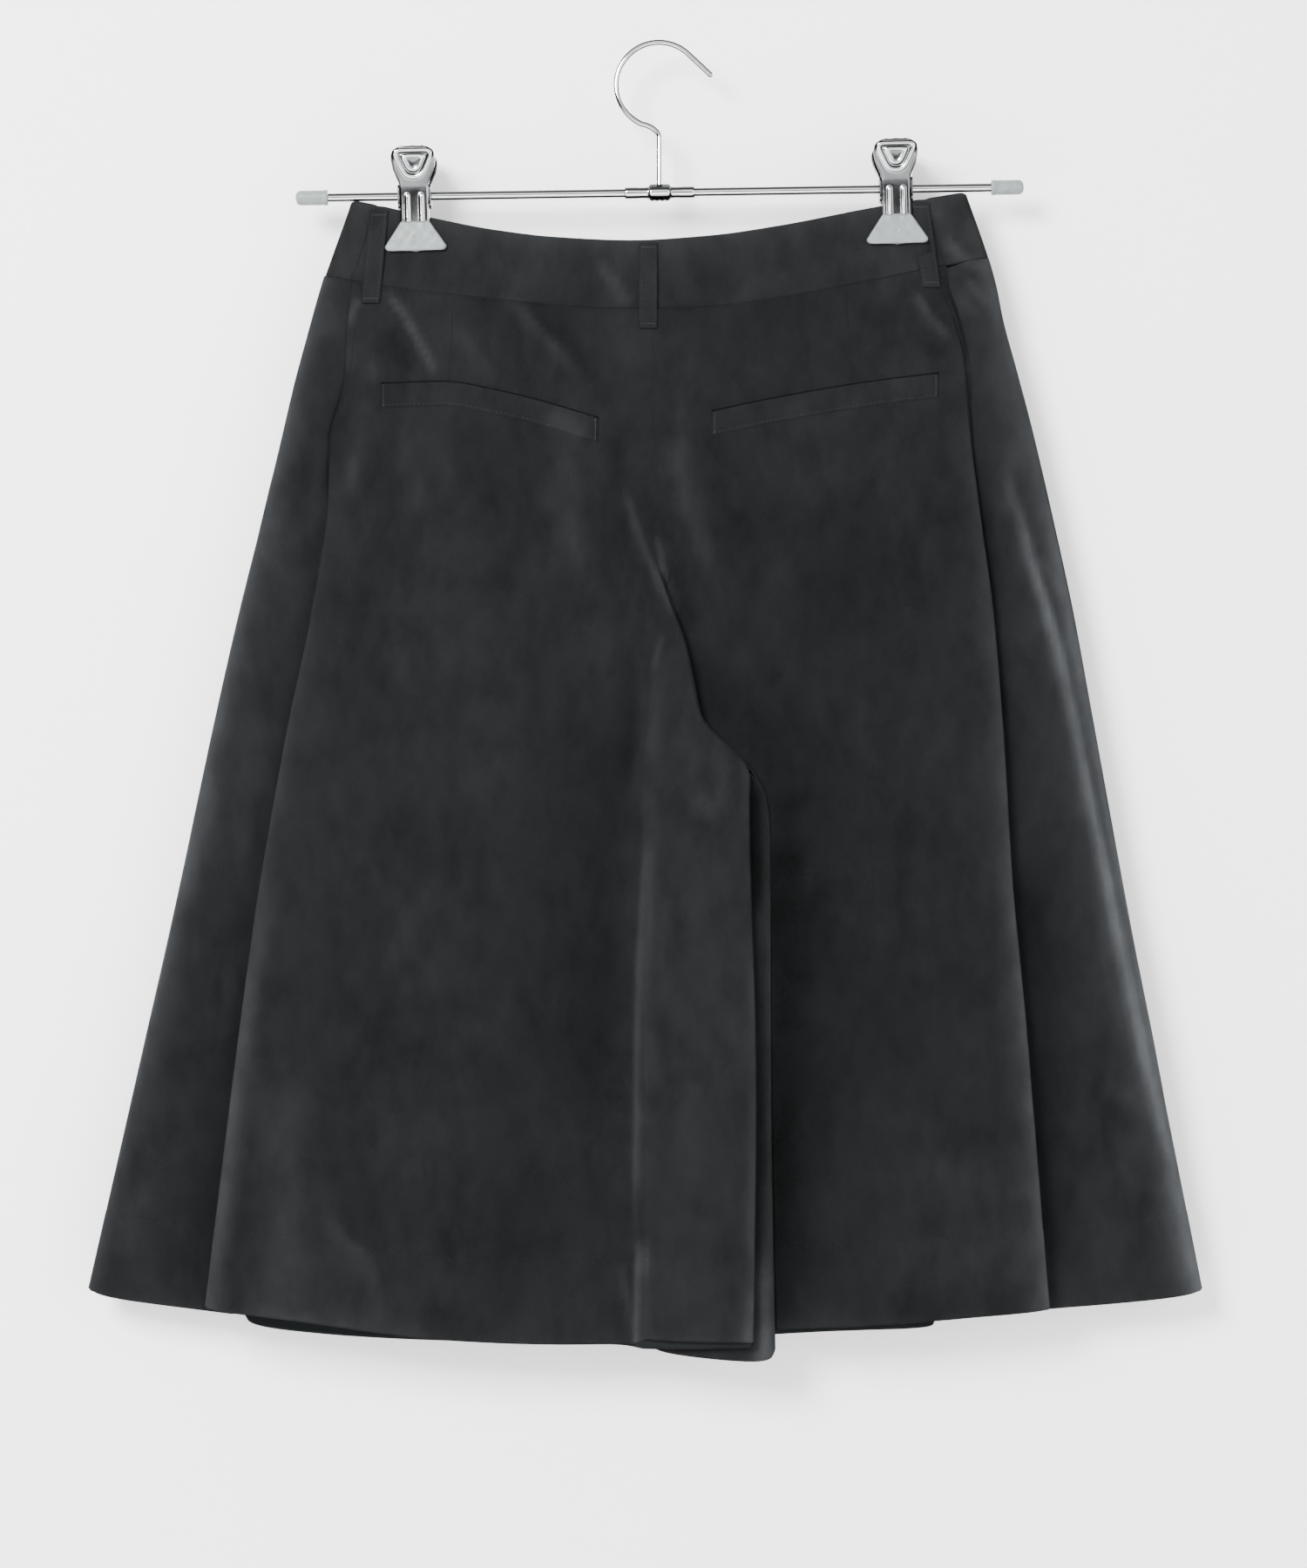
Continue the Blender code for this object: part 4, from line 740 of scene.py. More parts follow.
def left_front_lines(level):
    fork, depth = read(FORKS, level), read(DEPTHS["left"], level)
    seam, crest = fork.seam - fork.inset, fork.crest
    plane = fork.near + fork.layer
    closing = fork.near + blend(1.5, 0.5, fork.split) * fork.layer
    turning = FRONT_TURNED_STEP * blend(-1.0, 1.0, np.clip(2 * fork.split, 0, 1))
    fold = read(SIDES["left"], level).front_fold
    strip = {
        "pit": (crest - 15.0, depth.pit),
        "wall": (crest - 7.8, blend(depth.pit, plane, 0.42)),
        "wall_top": (crest - 3.2, blend(depth.pit, plane, 0.88)),
        "strip_crest": (crest + 0.6, plane),
        "strip": (blend(crest, seam, 0.5), plane),
        "strip_edge": (seam - np.minimum(STRIP_EDGE, 0.3 * (seam - crest)), plane),
        "seam_turn": (seam, blend(plane, closing, 0.6)),
        "seam": (seam, closing + turning),
    }
    return {
        **wing_lines("left", level),
        "middle": (blend(fold, crest, 0.4), depth.front_middle),
        "inner": (blend(fold, crest, 0.7), depth.front_inner),
        **fold_up(strip, fork.front_fold, seam - SEAM_STEP, -FRONT_STEP, depth.pit),
    }


def right_front_lines(level):
    fork, depth = read(FORKS, level), read(DEPTHS["right"], level)
    seam = fork.right_seam - fork.inset
    plane, far = fork.near + 2 * fork.layer, fork.near + 5 * fork.layer
    valley = np.minimum(fork.crest + 2.6, seam - 1.0)
    edge = np.minimum(STRIP_EDGE, 0.3 * (seam - valley))
    closing = fork.near + blend(1.5, 2.5, fork.split) * fork.layer
    turning = FRONT_TURNED_STEP * blend(1.0, -1.0, np.clip(2 * fork.split, 0, 1))
    fold = read(SIDES["right"], level).front_fold
    flap = {
        "pit": (valley + 12.0, blend(far, depth.pit, 0.4)),
        "fork_fold_back": (valley, far),
        "fork_fold_side": (valley - 0.6, blend(plane, far, 0.5)),
        "fork_fold": (valley, plane),
        "flap_root": (valley + edge, plane),
        "flap": (blend(valley, seam, 0.5), plane),
        "flap_edge": (seam - edge, plane),
        "seam_turn": (seam, blend(plane, closing, 0.6)),
        "seam": (seam, closing + turning),
    }
    rolling = ROLLING_STEP * 4 * fork.front_fold * (1 - fork.front_fold)
    return {
        **wing_lines("right", level),
        "middle": (blend(fold, valley, 0.36), depth.front_middle),
        "inner": (blend(fold, valley, 0.68), depth.front_inner),
        **fold_up(flap, fork.front_fold, seam + SEAM_STEP + rolling, FRONT_STEP, depth.pit),
    }


# %% [markdown]
# ## From lines to a grid of points
#
# The rows run evenly from the waist seam down to the hem turning, 43 mm above the hem edge. From
# there on they keep fixed distances from the edge, so that the turned-up hem has its own crisp start.

# %% Panel grids
HEM_TURN = 43.0
BODY_ROWS = 140
HEM_ROWS = (46, 44, 43.4, 42.6, 42, 38, 32, 26, 20, 14, 9, 5, 2, 0.8, 0)
ABOVE_HEM = 2.0  # from the last even row to the first hem row
FIRST_GUESS = 140.0  # the waist seam's level, before it is worked out


def back_top(x):
    return across(BAND_SEAM, x)


def front_top(x):
    return across(BAND_SEAM, x) + front_dip(x)


# how each panel's lines run, where it starts, and +1 or -1 so that its normals point to the pile
PANELS = {
    "back_panel_left": (left_back_lines, back_top, 1.0),
    "back_panel_right": (right_back_lines, back_top, -1.0),
    "front_panel_left": (left_front_lines, front_top, 1.0),
    "front_panel_right": (right_front_lines, front_top, -1.0),
}


def panel_grid(name):
    """Points of a panel's middle surface, in rows from the waist seam down to the hem."""
    lines_at, top, _ = PANELS[name]
    names = list(lines_at(np.array([FIRST_GUESS])))
    weights = spline_weights(names)
    known = [index for index, line in enumerate(names) if line in HEMS[name]]
    hem = weights @ np.interp(range(len(names)), known, [HEMS[name][names[index]] for index in known])
    start = np.full(len(weights), FIRST_GUESS)
    for _ in range(3):  # the waist seam's level hangs on where the column crosses it
        lines = lines_at(start)
        start = top(sum(weights[:, index] * lines[line][0] for index, line in enumerate(names)))
    points = np.zeros((BODY_ROWS + len(HEM_ROWS), len(weights), 3))
    for column, weight in enumerate(weights):
        body = np.linspace(start[column], hem[column] - HEM_ROWS[0] - ABOVE_HEM, BODY_ROWS)
        levels = np.concatenate([body, hem[column] - np.array(HEM_ROWS)])
        lines = lines_at(levels)
        for line, share in zip(names, weight):
            points[:, column, 0] += share * lines[line][0]
            points[:, column, 1] += share * lines[line][1]
        points[:, column, 2] = -levels
    return points


def normals_of(points, turned=1.0):
    """Unit normals of a grid of points, towards the side with the pile."""
    normals = np.cross(np.gradient(points, axis=1), np.gradient(points, axis=0)) * turned
    return normals / np.linalg.norm(normals, axis=2, keepdims=True)


GRIDS = {name: panel_grid(name) for name in PANELS}
for name, points in GRIDS.items():
    print(name, "rows, columns:", points.shape[:2])

# %% [markdown]
# ## Creases, pile strokes and painted light
#
# Folds press ridges into the cloth and the clips pull drag lines from the waist. Each is given as a
# row of numbers: the width of its gentle flank, the width of its crisp one, to the right of its path
# going down, its height, and then its path, across and level by turns. A stroke is the same kind of
# row, but only changes how light or dark the cloth is: some strokes are pile brushed one way, and
# others are painted shade in hollows and beside folds and painted highlights on crests, ridges and
# edges. Its third number says how light or dark it is.

# %% Ridges pressed into the cloth
BACK_RIDGES = (
    (9, 3.5, 2.2, -151.7, 137, -139.7, 153.1, -130.1, 163, -124, 186),
    (10, 5, 1.3, -77.8, 146.4, -61.4, 164.2, -46, 184),
    (7, 3, 1.3, -21.6, 240, -16.8, 263, -9.1, 287, -3.4, 312),
    (9, 5, 2.4, 8, 176, 14, 210, 20, 255, 27, 290, 37, 320), (6, 4, 1.2, 12, 262, 20, 300, 33, 338),
    (8, 5, 1.4, 151.2, 132, 162, 150, 172, 176),
    (15, 7, 2.6, 190.6, 232, 199.2, 263, 213.1, 305.8, 219, 340, 224, 378, 241.9, 441.1, 268.8, 553, 286,
     650), (10, 7, 1.5, -206, 205, -219.5, 300, -234, 400), (12, 9, 1.1, -239, 420, -262, 540, -281, 640),
    (14, 10, 1.2, -176, 250, -187, 330, -195, 400),
    (12, 7, 1.1, -187.2, 566, -181.9, 633.6, -165, 662, -149, 706), (5, 3, 0.9, -45, 668, -36, 690, -31, 712),
    (5, 3, 0.8, -27, 664, -25, 712), (26, 20, 1, 96, 240, 112, 330, 118, 430),
    (18, 14, 0.9, 150, 420, 158, 540, 163, 660), (16, 12, 1.2, -60, 215, -47, 255, -50, 300),
    (30, 24, 1, -120, 260, -132, 380, -128, 500),
)
FRONT_RIDGES = (
    (14, 9, 1.3, 60, 170, 74, 230, 80, 300), (14, 9, 1.5, -58, 172, -70, 240, -82, 330),
    (8, 4, 1.6, 118, 140, 112, 175, 104, 214), (8, 4, 1.6, -128, 150, -118, 184, -104, 214),
    (8, 4, 1.4, -16, 232, -24, 268, -36, 306), (8, 4, 1.3, 14, 236, 24, 276, 38, 318),
    (14, 9, 1.5, -206, 300, -232, 430, -262, 590), (14, 9, 1.6, 186, 290, 208, 420, 236, 600),
    (22, 16, 1.2, -120, 420, -132, 540, -128, 690), (20, 15, 1.1, 88, 430, 100, 560, 96, 690),
)

# %% Pile strokes and painted light
# Besides pile brushed one way, these strokes paint shade and highlights into the pile's colour. The
# wing strokes lie on what shows of the front panels from the back: the outer wings and the flap
# at the fork.
BACK_PILE_AND_PAINTED_LIGHT = (
    (3.2, 1.7, 0.62, -123, 186, -128, 173, -135, 160, -143, 147, -152, 135),
    (9, 4, -0.15, -150, 154, -142, 168, -134, 185), (5, 3, 0.14, -114, 151, -102, 169, -91, 189),
    (5, 2, 0.26, -88, 132, -75, 148, -63, 162, -51, 174, -41, 186),
    (7, 8, -0.11, -72, 142, -51, 163, -32, 189, -22, 211),
    (4, 1.6, 0.32, -35, 117, -27, 128, -21, 136, -15, 148), (5, 3, 0.12, -95, 113, -84, 126, -76, 138),
    (6, 4, 0.1, -20, 148, -15, 167, -11, 186), (3, 2, 0.4, -172, 155, -168, 144, -164, 139),
    (3, 2, 0.12, -170, 165, -169, 182), (4, 3, 0.22, -160, 173, -155, 187),
    (4, 3, 0.22, -168, 225, -169, 238, -170, 250), (5, 4, 0.12, -160, 192, -164, 215, -166, 244),
    (4, 3, -0.08, -173, 201, -180, 220, -183, 232), (8, 6, 0.1, -138, 208, -135, 234, -128, 263),
    (10, 8, 0.06, -183, 234, -175, 273, -169, 311), (6, 4, 0.2, -62, 202, -50, 209, -39, 218),
    (13, 7, 0.15, -55, 215, -49, 234, -53, 253, -45, 275, -39, 296),
    (11, 9, 0.12, -39, 313, -33, 328, -37, 345), (7, 6, -0.07, -26, 201, -22, 244, -17, 282),
    (2.5, 2, 0.4, -20, 242, -13, 266, -5, 287, 0, 306), (2.5, 2, 0.3, -2, 269, 2, 287, 7, 306),
    (2, 2, 0.3, 3, 323, -1, 335, -4, 346),
    (5, 4, 0.2, 37, 321, 33, 303, 26, 284, 19, 264, 13, 242, 13, 215, 11, 181),
    (6, 7, -0.07, 4, 282, 12, 306, 20, 325), (9, 9, -0.07, 35, 244, 43, 282, 48, 321, 45, 345),
    (8, 12, -0.14, 21, 325, 26, 354, 40, 378, 59, 401, 69, 431),
    (24, 24, -0.09, 45, 330, 64, 369, 83, 397, 88, 436),
    # painted shadow that the flap casts on the right back panel
    (9, 16, -0.24, 53, 397, 61, 421, 62, 484, 62, 551, 63, 613, 63, 671, 62, 762),
    (26, 26, -0.11, 69, 426, 83, 503, 83, 599, 76, 724), (8, 6, 0.06, 97, 119, 121, 115, 141, 112),
    (34, 34, -0.04, 83, 244, 107, 282, 121, 330), (14, 12, -0.05, 131, 311, 131, 345, 136, 378),
    (12, 10, 0.05, 117, 609, 136, 623, 144, 647), (14, 14, 0.06, 88, 474, 117, 480, 141, 460),
    (14, 14, 0.12, 121, 671, 145, 666, 165, 681), (5, 1.6, 0.4, 139, 134, 148, 149, 161, 163),
    (6, 5, -0.07, 131, 157, 144, 167, 158, 173),
    (6, 9, 0.04, 207, 666, 199, 570, 188, 460, 178, 359, 167, 244),
    # painted highlight on the facet of the fork's crest that faces the light
    (4.5, 1.9, 0.6, -13, 657, -13, 623, -12, 585, -12, 551, -11, 508, -9, 474, -7, 436, -6, 407),
    (5.5, 2.2, 0.16, -7, 436, -6, 402, -5, 383, -3, 359, -3, 330), (8, 10, -0.13, 68, 407, 71, 431, 70, 460),
    (8, 10, -0.08, 71, 503, 72, 527, 71, 546), (26, 26, 0.1, 21, 340, 19, 407, 19, 503, 19, 599, 19, 709),
    (7, 6, 0.04, 2, 455, -1, 503, 1, 541), (6, 6, 0.18, -6, 537, -5, 556, -3, 580),
    (30, 30, 0.12, 16, 661, 19, 695, 19, 762),
    # painted highlight on the crest's facet, lower down
    (4.2, 1.8, 0.95, -13, 762, -13, 714, -12, 695, -12, 676, -11, 661, -12, 649),
    (3.4, 3, 0.36, -9, 673, -9, 663, -11, 655), (5, 4, 0.1, 11, 369, 16, 393, 21, 407),
    (6, 6, -0.08, 24, 325, 28, 349, 31, 378), (4, 3, 0.22, 19, 413, 25, 421, 31, 424),
    (6, 3, 0.16, 40, 393, 34, 407, 32, 421), (4, 3, 0.2, 41, 391, 47, 396, 48, 407),
    (3, 2, 0.1, 47, 393, 48, 436, 50, 474), (4, 3, 0.24, 51, 484, 52, 551, 51, 618, 50, 676),
    (4, 3, 0.34, 49, 671, 49, 762), (6, 5, 0.22, 48, 695, 48, 762),
    (24, 14, -0.13, -22, 325, -24, 383, -28, 455, -35, 551, -39, 618),
    (34, 34, -0.06, -56, 282, -75, 340, -95, 407), (30, 26, 0.08, -114, 263, -109, 311, -109, 359),
    (26, 26, 0.08, -138, 445, -138, 484, -138, 532), (22, 22, 0.05, -123, 455, -104, 503, -95, 551),
    (13, 9, 0.2, -200, 551, -202, 594, -200, 647, -199, 719),
    (12, 12, 0.22, -238, 695, -205, 701, -162, 707, -114, 711),
    (24, 22, 0.1, -243, 661, -200, 677, -157, 685, -114, 690),
    (10, 10, -0.03, -205, 479, -205, 503, -207, 527),
    (9, 1.8, 0.2, -182, 636, -173, 652, -158, 663, -152, 685, -146, 705),
    (8, 6, 0.08, -123, 661, -116, 676, -114, 695), (8, 6, 0.16, -238, 666, -240, 685, -242, 724),
    (12, 8, 0.16, 198, 609, 204, 647, 208, 685, 211, 724), (2.5, 2, 0.24, -22, 666, -17, 690, -14, 712),
    (15, 15, -0.09, -171, 263, -168, 330, -160, 407), (12, 12, 0.06, -138, 292, -140, 340, -135, 383),
    (8, 3, -0.14, -16, 325, -15, 373, -19, 421), (34, 34, -0.08, -95, 532, -80, 575, -75, 647, -71, 695),
    (2.5, 2.5, 0.4, -2, 282, 2, 300, 9, 318), (9, 5, 0.12, 6, 215, 10, 239, 14, 263),
    (14, 14, 0.12, 120, 153, 139, 173, 157, 201), (14, 14, 0.09, 136, 95, 155, 101, 174, 114),
    (16, 16, 0.08, -27, 101, 0, 119, 21, 101), (12, 12, 0.14, -176, 85, -171, 109, -169, 133),
    (34, 30, -0.1, -99, 397, -96, 474, -85, 551), (40, 36, -0.08, 69, 244, 97, 311, 126, 369),
    (30, 30, -0.08, 121, 388, 117, 445, 117, 527, 121, 599), (12, 9, -0.07, -27, 263, -32, 311, -31, 340),
    (16, 16, -0.05, 69, 215, 88, 234, 107, 234), (24, 22, -0.06, 97, 349, 121, 378, 155, 397),
    (16, 16, -0.04, -147, 340, -119, 325, -90, 349), (14, 14, -0.04, -176, 383, -171, 407),
    (12, 12, -0.07, 11, 599, 9, 628, 14, 647), (26, 20, 0.18, 169, 594, 176, 642, 182, 695),
    (10, 10, 0.1, 145, 119, 131, 133, 112, 141),
    (5, 3, 0.36, -244, 714, -240, 657, -234, 599, -226, 537, -218, 484, -212, 445),
    (3, 3, -0.04, -236, 695, -228, 642, -219, 575),
)
WING_PILE_AND_PAINTED_LIGHT = (
    # on the flap: painted shade in the hollow under the fork, and painted light near its hem
    (4, 3.5, -0.34, 52, 397, 53, 436, 54, 484), (5, 5, 0.62, 55, 659, 56, 695, 56, 762),
    (5, 5, 0.5, 57, 695, 58, 724, 58, 762), (3, 3, -0.14, 56, 474, 57, 551, 57, 647),
    (4, 4, 0.3, 59, 695, 60, 762), (2.5, 1.6, 0.16, 59, 436, 60, 527, 60, 623, 60, 709),
    (30, 26, 0.1, -200, 177, -219, 273, -243, 388, -267, 493, -287, 599),
    # painted shade on the left wing beside the back panel's fold
    (6, 4, -0.07, -180, 249, -188, 282, -196, 330, -206, 388, -215, 436),
    (15, 16, -0.12, -219, 426, -231, 498, -241, 580, -252, 666, -257, 705),
    (4, 2.4, -0.34, -182, 221, -178, 209, -174, 197, -169, 183),
    (3, 3, -0.17, -184, 245, -182, 238, -181, 229), (6, 6, -0.09, -194, 269, -195, 282, -197, 292),
    (4, 3, -0.09, -209, 330, -215, 359, -216, 383), (4, 3, -0.08, -218, 407, -221, 436, -225, 460),
    (8, 8, -0.06, -224, 383, -226, 412, -229, 436), (4, 4, 0.12, -227, 484, -234, 517, -240, 556),
    (2.5, 2, 0.1, -233, 484, -242, 551), (8, 6, 0.05, -219, 359, -225, 388, -229, 421),
    (8, 8, -0.05, -193, 215, -198, 244, -202, 268), (5, 5, 0.14, -205, 244, -211, 263, -216, 292),
    (6, 8, 0.06, -183, 143, -192, 177, -200, 215), (4, 4, 0.12, -195, 205, -200, 223, -203, 234),
    (5, 5, 0.2, -228, 321, -235, 349, -240, 383), (5, 5, 0.3, -243, 393, -251, 436, -261, 479),
    (5, 5, 0.12, -264, 503, -277, 561, -287, 613), (12, 10, 0.16, -282, 618, -287, 647, -291, 671),
    (5, 5, 0.2, -183, 138, -181, 152, -185, 162), (4, 4, 0.06, -198, 186, -211, 244, -219, 277),
    (26, 20, 0.14, 174, 100, 193, 186, 217, 311, 241, 417, 261, 517, 275, 599),
    (3.4, 3, 0.5, 154, 106, 162, 113, 170, 120, 181, 123), (4, 4, 0.3, 168, 90, 174, 109, 181, 133, 187, 157),
    (3, 3, 0.2, 148, 89, 153, 93, 158, 95), (8, 8, 0.2, 157, 119, 161, 133, 165, 157),
    (3, 2.6, 0.34, 167, 127, 173, 135, 182, 144), (3, 2.6, 0.22, 164, 135, 170, 144, 177, 151),
    (6, 6, 0.12, 189, 215, 192, 244, 196, 263), (9, 9, -0.07, 203, 383, 207, 417, 210, 445),
    (8, 8, 0.14, 189, 167, 194, 196, 205, 244),
    # painted highlight along the right wing's outer ridge, and its softer skirt just below
    (4, 2.2, 1.75, 186, 221, 192, 240, 198, 259, 205, 286, 213, 312, 222, 344, 229, 377, 240, 431, 254,
     498, 266, 554, 281, 615, 290, 657), (3, 2, 0.3, 206, 280, 215, 292, 223, 307),
    (5, 9, 0.92, 203, 205, 216, 263, 228, 330, 242, 397, 259, 469, 276, 551, 292, 628),
    (7, 5, 0.5, 286, 633, 291, 657, 296, 679), (6, 3, 0.06, 219, 359, 232, 421, 245, 493, 256, 551, 268, 613),
    (24, 24, 0.12, 220, 570, 232, 613, 240, 657, 244, 705),
    (5, 6, -0.18, 174, 205, 182, 311, 191, 407, 195, 465),
    (8, 15, -0.18, 196, 426, 204, 503, 211, 575, 218, 647, 223, 705),
    (16, 16, -0.04, 208, 421, 222, 503, 230, 561), (8, 8, 0.12, 261, 594, 259, 618, 263, 637),
    (8, 8, 0.1, 220, 517, 230, 532, 237, 551), (5, 4, 0.16, 242, 570, 256, 578, 261, 585),
)
# mostly painted highlights along the front's ridges; the last two strokes darken the pile
FRONT_PILE_AND_PAINTED_LIGHT = (
    (13, 7, 0.3, 64, 190, 78, 260, 84, 340), (11, 6, 0.26, -60, 190, -72, 260, -86, 350),
    (6, 3, 0.4, -18, 240, -30, 286, -40, 318), (6, 3, 0.34, 16, 250, 28, 290, 40, 324),
    (8, 4, 0.26, -206, 300, -232, 430, -262, 590), (8, 4, 0.3, 186, 290, 208, 420, 236, 600),
    (16, 9, 0.18, -120, 400, -132, 540, -128, 690), (14, 8, 0.2, 96, 430, 104, 560, 100, 690),
    (11, 6, -0.11, -176, 440, -190, 560, -196, 690), (14, 8, -0.09, 60, 360, 70, 480, 76, 600),
)
PILE_AND_PAINTED_LIGHT = BACK_PILE_AND_PAINTED_LIGHT + WING_PILE_AND_PAINTED_LIGHT + FRONT_PILE_AND_PAINTED_LIGHT
print(len(BACK_RIDGES) + len(FRONT_RIDGES), "ridges and", len(PILE_AND_PAINTED_LIGHT), "strokes")

# %% How far a point lies from a path
END_FADE = 4.5  # a crease fades over a share of 1 / 4.5 of its length at each end


def fade_in(value, start, end):
    share = np.clip((value - start) / (end - start), 0, 1)
    return share * share * (3 - 2 * share)


def beside(path, x, level):
    """Signed distance to a path, positive on its right going down, and a share that fades at its ends."""
    best = np.full(x.shape, np.inf)
    side, share = np.zeros(x.shape), np.zeros(x.shape)
    lengths = np.linalg.norm(np.diff(path, axis=0), axis=1)
    gone = np.concatenate([[0.0], np.cumsum(lengths)]) / lengths.sum()
    for index, length in enumerate(lengths):
        start = path[index]
        run = (path[index + 1] - start) / length
        along = np.clip((x - start[0]) * run[0] + (level - start[1]) * run[1], 0, length)
        gap_x = x - start[0] - along * run[0]
        gap_level = level - start[1] - along * run[1]
        far = np.hypot(gap_x, gap_level)
        nearer = far < best
        best = np.where(nearer, far, best)
        side = np.where(nearer, np.sign(gap_x * run[1] - gap_level * run[0]), side)
        share = np.where(nearer, blend(gone[index], gone[index + 1], along / length), share)
    return best * side, fade_in(np.minimum(share, 1 - share), 0, 1 / END_FADE)


def marks(paths, x, level):
    """The height of all the ridges, or the light of all the strokes with their painted shade and highlights,
    at each point.
    """
    total = np.zeros(x.shape)
    for soft, crisp, most, *path in paths:
        far, fade = beside(np.array(path, float).reshape(-1, 2), x, level)
        total += most * fade * np.exp(-((far / np.where(far > 0, crisp, soft)) ** 2))
    return total


def hang_waves(x, level):
    """Low, wide unevenness that all hanging cloth has."""
    waves = 0.55 * np.sin(0.031 * x + 0.011 * level + 0.7) * np.sin(0.017 * level - 0.009 * x)
    waves += 0.30 * np.sin(0.083 * x - 0.021 * level + 2.1) * np.sin(0.037 * level + 0.4)
    waves += 0.12 * np.sin(0.19 * x + 0.05 * level) * np.sin(0.11 * level + 0.03 * x + 1.3)
    return waves


def facing_shares(normals, least):
    """How surely each point faces the garment's back and its front."""
    return fade_in(-normals[..., 1], least, 0.9), fade_in(normals[..., 1], least, 0.9)


# %% [markdown]
# ## Walls of cloth
#
# A grid becomes a closed wall: one skin with pile, one woven skin, and a rounded edge between them.
# The hem is turned up, so the wall is thicker there, and its edge is a soft fold.

# %% Building a wall
EDGE_ROUND = 0.45  # how far an edge's middle stands out, per thickness
PAINTED_EDGE_HIGHLIGHT = 0.10  # a painted highlight along the edges


def shell(name, middle, turned, outer, inner, finishes, lift=None, rim=PAINTED_EDGE_HIGHLIGHT, hem_painted_rim=None):
    """A closed wall round a grid of middle points; outer and inner are the distances of its skins."""
    normals = normals_of(middle, turned)
    rows, columns = middle.shape[:2]
    outer = np.broadcast_to(outer, (rows, columns))
    inner = np.broadcast_to(inner, (rows, columns))
    front = middle + normals * outer[..., None]
    back = middle - normals * inner[..., None]
    count = rows * columns
    border = [(0, column) for column in range(columns)]
    border += [(row, columns - 1) for row in range(1, rows)]
    border += [(rows - 1, column) for column in range(columns - 2, -1, -1)]
    border += [(row, 0) for row in range(rows - 2, 0, -1)]
    edge = []
    for row, column in border:
        inside = min(max(row, 1), rows - 2), min(max(column, 1), columns - 2)
        away = middle[row, column] - middle[inside]
        away /= np.linalg.norm(away)
        mean = 0.5 * (front[row, column] + back[row, column])
        edge.append(mean + away * EDGE_ROUND * (outer[row, column] + inner[row, column]))
    corners = np.concatenate([front.reshape(-1, 3), back.reshape(-1, 3), np.array(edge)]) * MM
    faces, slots = [], []
    for row in range(rows - 1):
        for column in range(columns - 1):
            a = row * columns + column
            quad = (a, a + 1, a + columns + 1, a + columns)
            faces += [quad, tuple(count + corner for corner in quad[::-1])]
            slots += [0, 1]
    skin = [row * columns + column for row, column in border]
    for index, (here, there) in enumerate(zip(skin, skin[1:] + skin[:1])):
        ring, ring_after = 2 * count + index, 2 * count + (index + 1) % len(skin)
        faces += [(here, ring, ring_after, there), (ring, count + here, count + there, ring_after)]
        slots += [0, 0]
    if turned < 0:
        faces = [quad[::-1] for quad in faces]
    mesh = bpy.data.meshes.new(name)
    mesh.from_pydata(corners.tolist(), [], faces)
    mesh.polygons.foreach_set("material_index", slots)
    # lift is the tone at each point, with its painted shade and highlights; rim adds a painted highlight, or
    # with a minus a painted shade, along the edge, and the hem gets its own value along the last row
    if lift is not None:
        strokes = mesh.attributes.new("tone_and_painted_light", "FLOAT", "POINT")
        low_painted_rim = rim if hem_painted_rim is None else hem_painted_rim
        at_edge = [lift[spot] + (low_painted_rim if spot[0] == rows - 1 else rim) for spot in border]
        strokes.data.foreach_set("value", np.concatenate([lift.ravel(), lift.ravel(), at_edge]))
    mesh.shade_smooth()
    return keep(name, mesh, *finishes)


def area_of(points):
    """Area of a grid in square metres."""
    a = points[1:, 1:] - points[:-1, :-1]
    b = points[1:, :-1] - points[:-1, 1:]
    return float(np.linalg.norm(np.cross(a, b), axis=2).sum() / 2 * MM * MM)


# %% Painted sheen along the folds
# Where the cloth turns away, its sheen is painted: every outer fold has a light rim that fades into
# the panel. For each rim: -1 for the left fold or 1 for the right one, its reach, and then pairs of
# a level and how light the rim is there.
# a painted highlight on the hem's last rows, fading within a few millimetres of its edge
HEM_PAINTED_HIGHLIGHT, HEM_REACH = 0.16, 3.0
HEM_SHADE = 0.40  # painted shade on the fold itself, which faces the floor
PAINTED_FOLD_SHEEN = {
    "back_panel_left": (
        (-1, 4.5, (0, 0), (230, 0), (340, 0.26), (450, 0.34), (575, 0.48), (720, 0.55)),
        (1, 3, (0, 0), (290, 0), (310, 0.25), (360, 0.25), (400, 0.12), (440, -0.05), (475, 0.12),
         (505, 0.28), (560, 0.12), (650, 0.5), (720, 0.65)),
    ),
    "back_panel_right": (
        (1, 4.4, (0, 0), (150, 0), (220, 0.34), (310, 0.48), (410, 0.66), (520, 1), (640, 0.9), (720, 1.2)),
    ),
    "front_panel_left": (
        (-1, 3.2, (0, 0.8), (240, 1.2), (340, 1.3), (450, 1.5), (575, 1.2), (720, 0.8)),
    ),
    "front_panel_right": (
        (1, 6, (0, 0.8), (190, 1), (230, 0.7), (310, 0.8), (410, 1.3), (500, 1.9), (600, 2.5), (640, 3),
         (720, 3.1)),
    ),
}


def paint_fold_sheen(name, x, level):
    total = np.zeros(x.shape)
    for side, reach, *lights in PAINTED_FOLD_SHEEN[name]:
        far = np.abs(x - side * (side * x).max(axis=1, keepdims=True))
        total += np.interp(level, *zip(*lights)) * np.exp(-far / reach)
    return total


# %% The four panels
HEM_EXTRA = 0.9  # the hem allowance, on the woven side
HEM_PROUD, HEM_DENT = 0.12, 0.15  # on the pile side: how far the hem stands out, and its stitched line
DENT_ROW = BODY_ROWS + HEM_ROWS.index(43.4)
HELD_COLUMNS, HELD_ROWS = 7, 5  # beside the seams the cloth is held flat


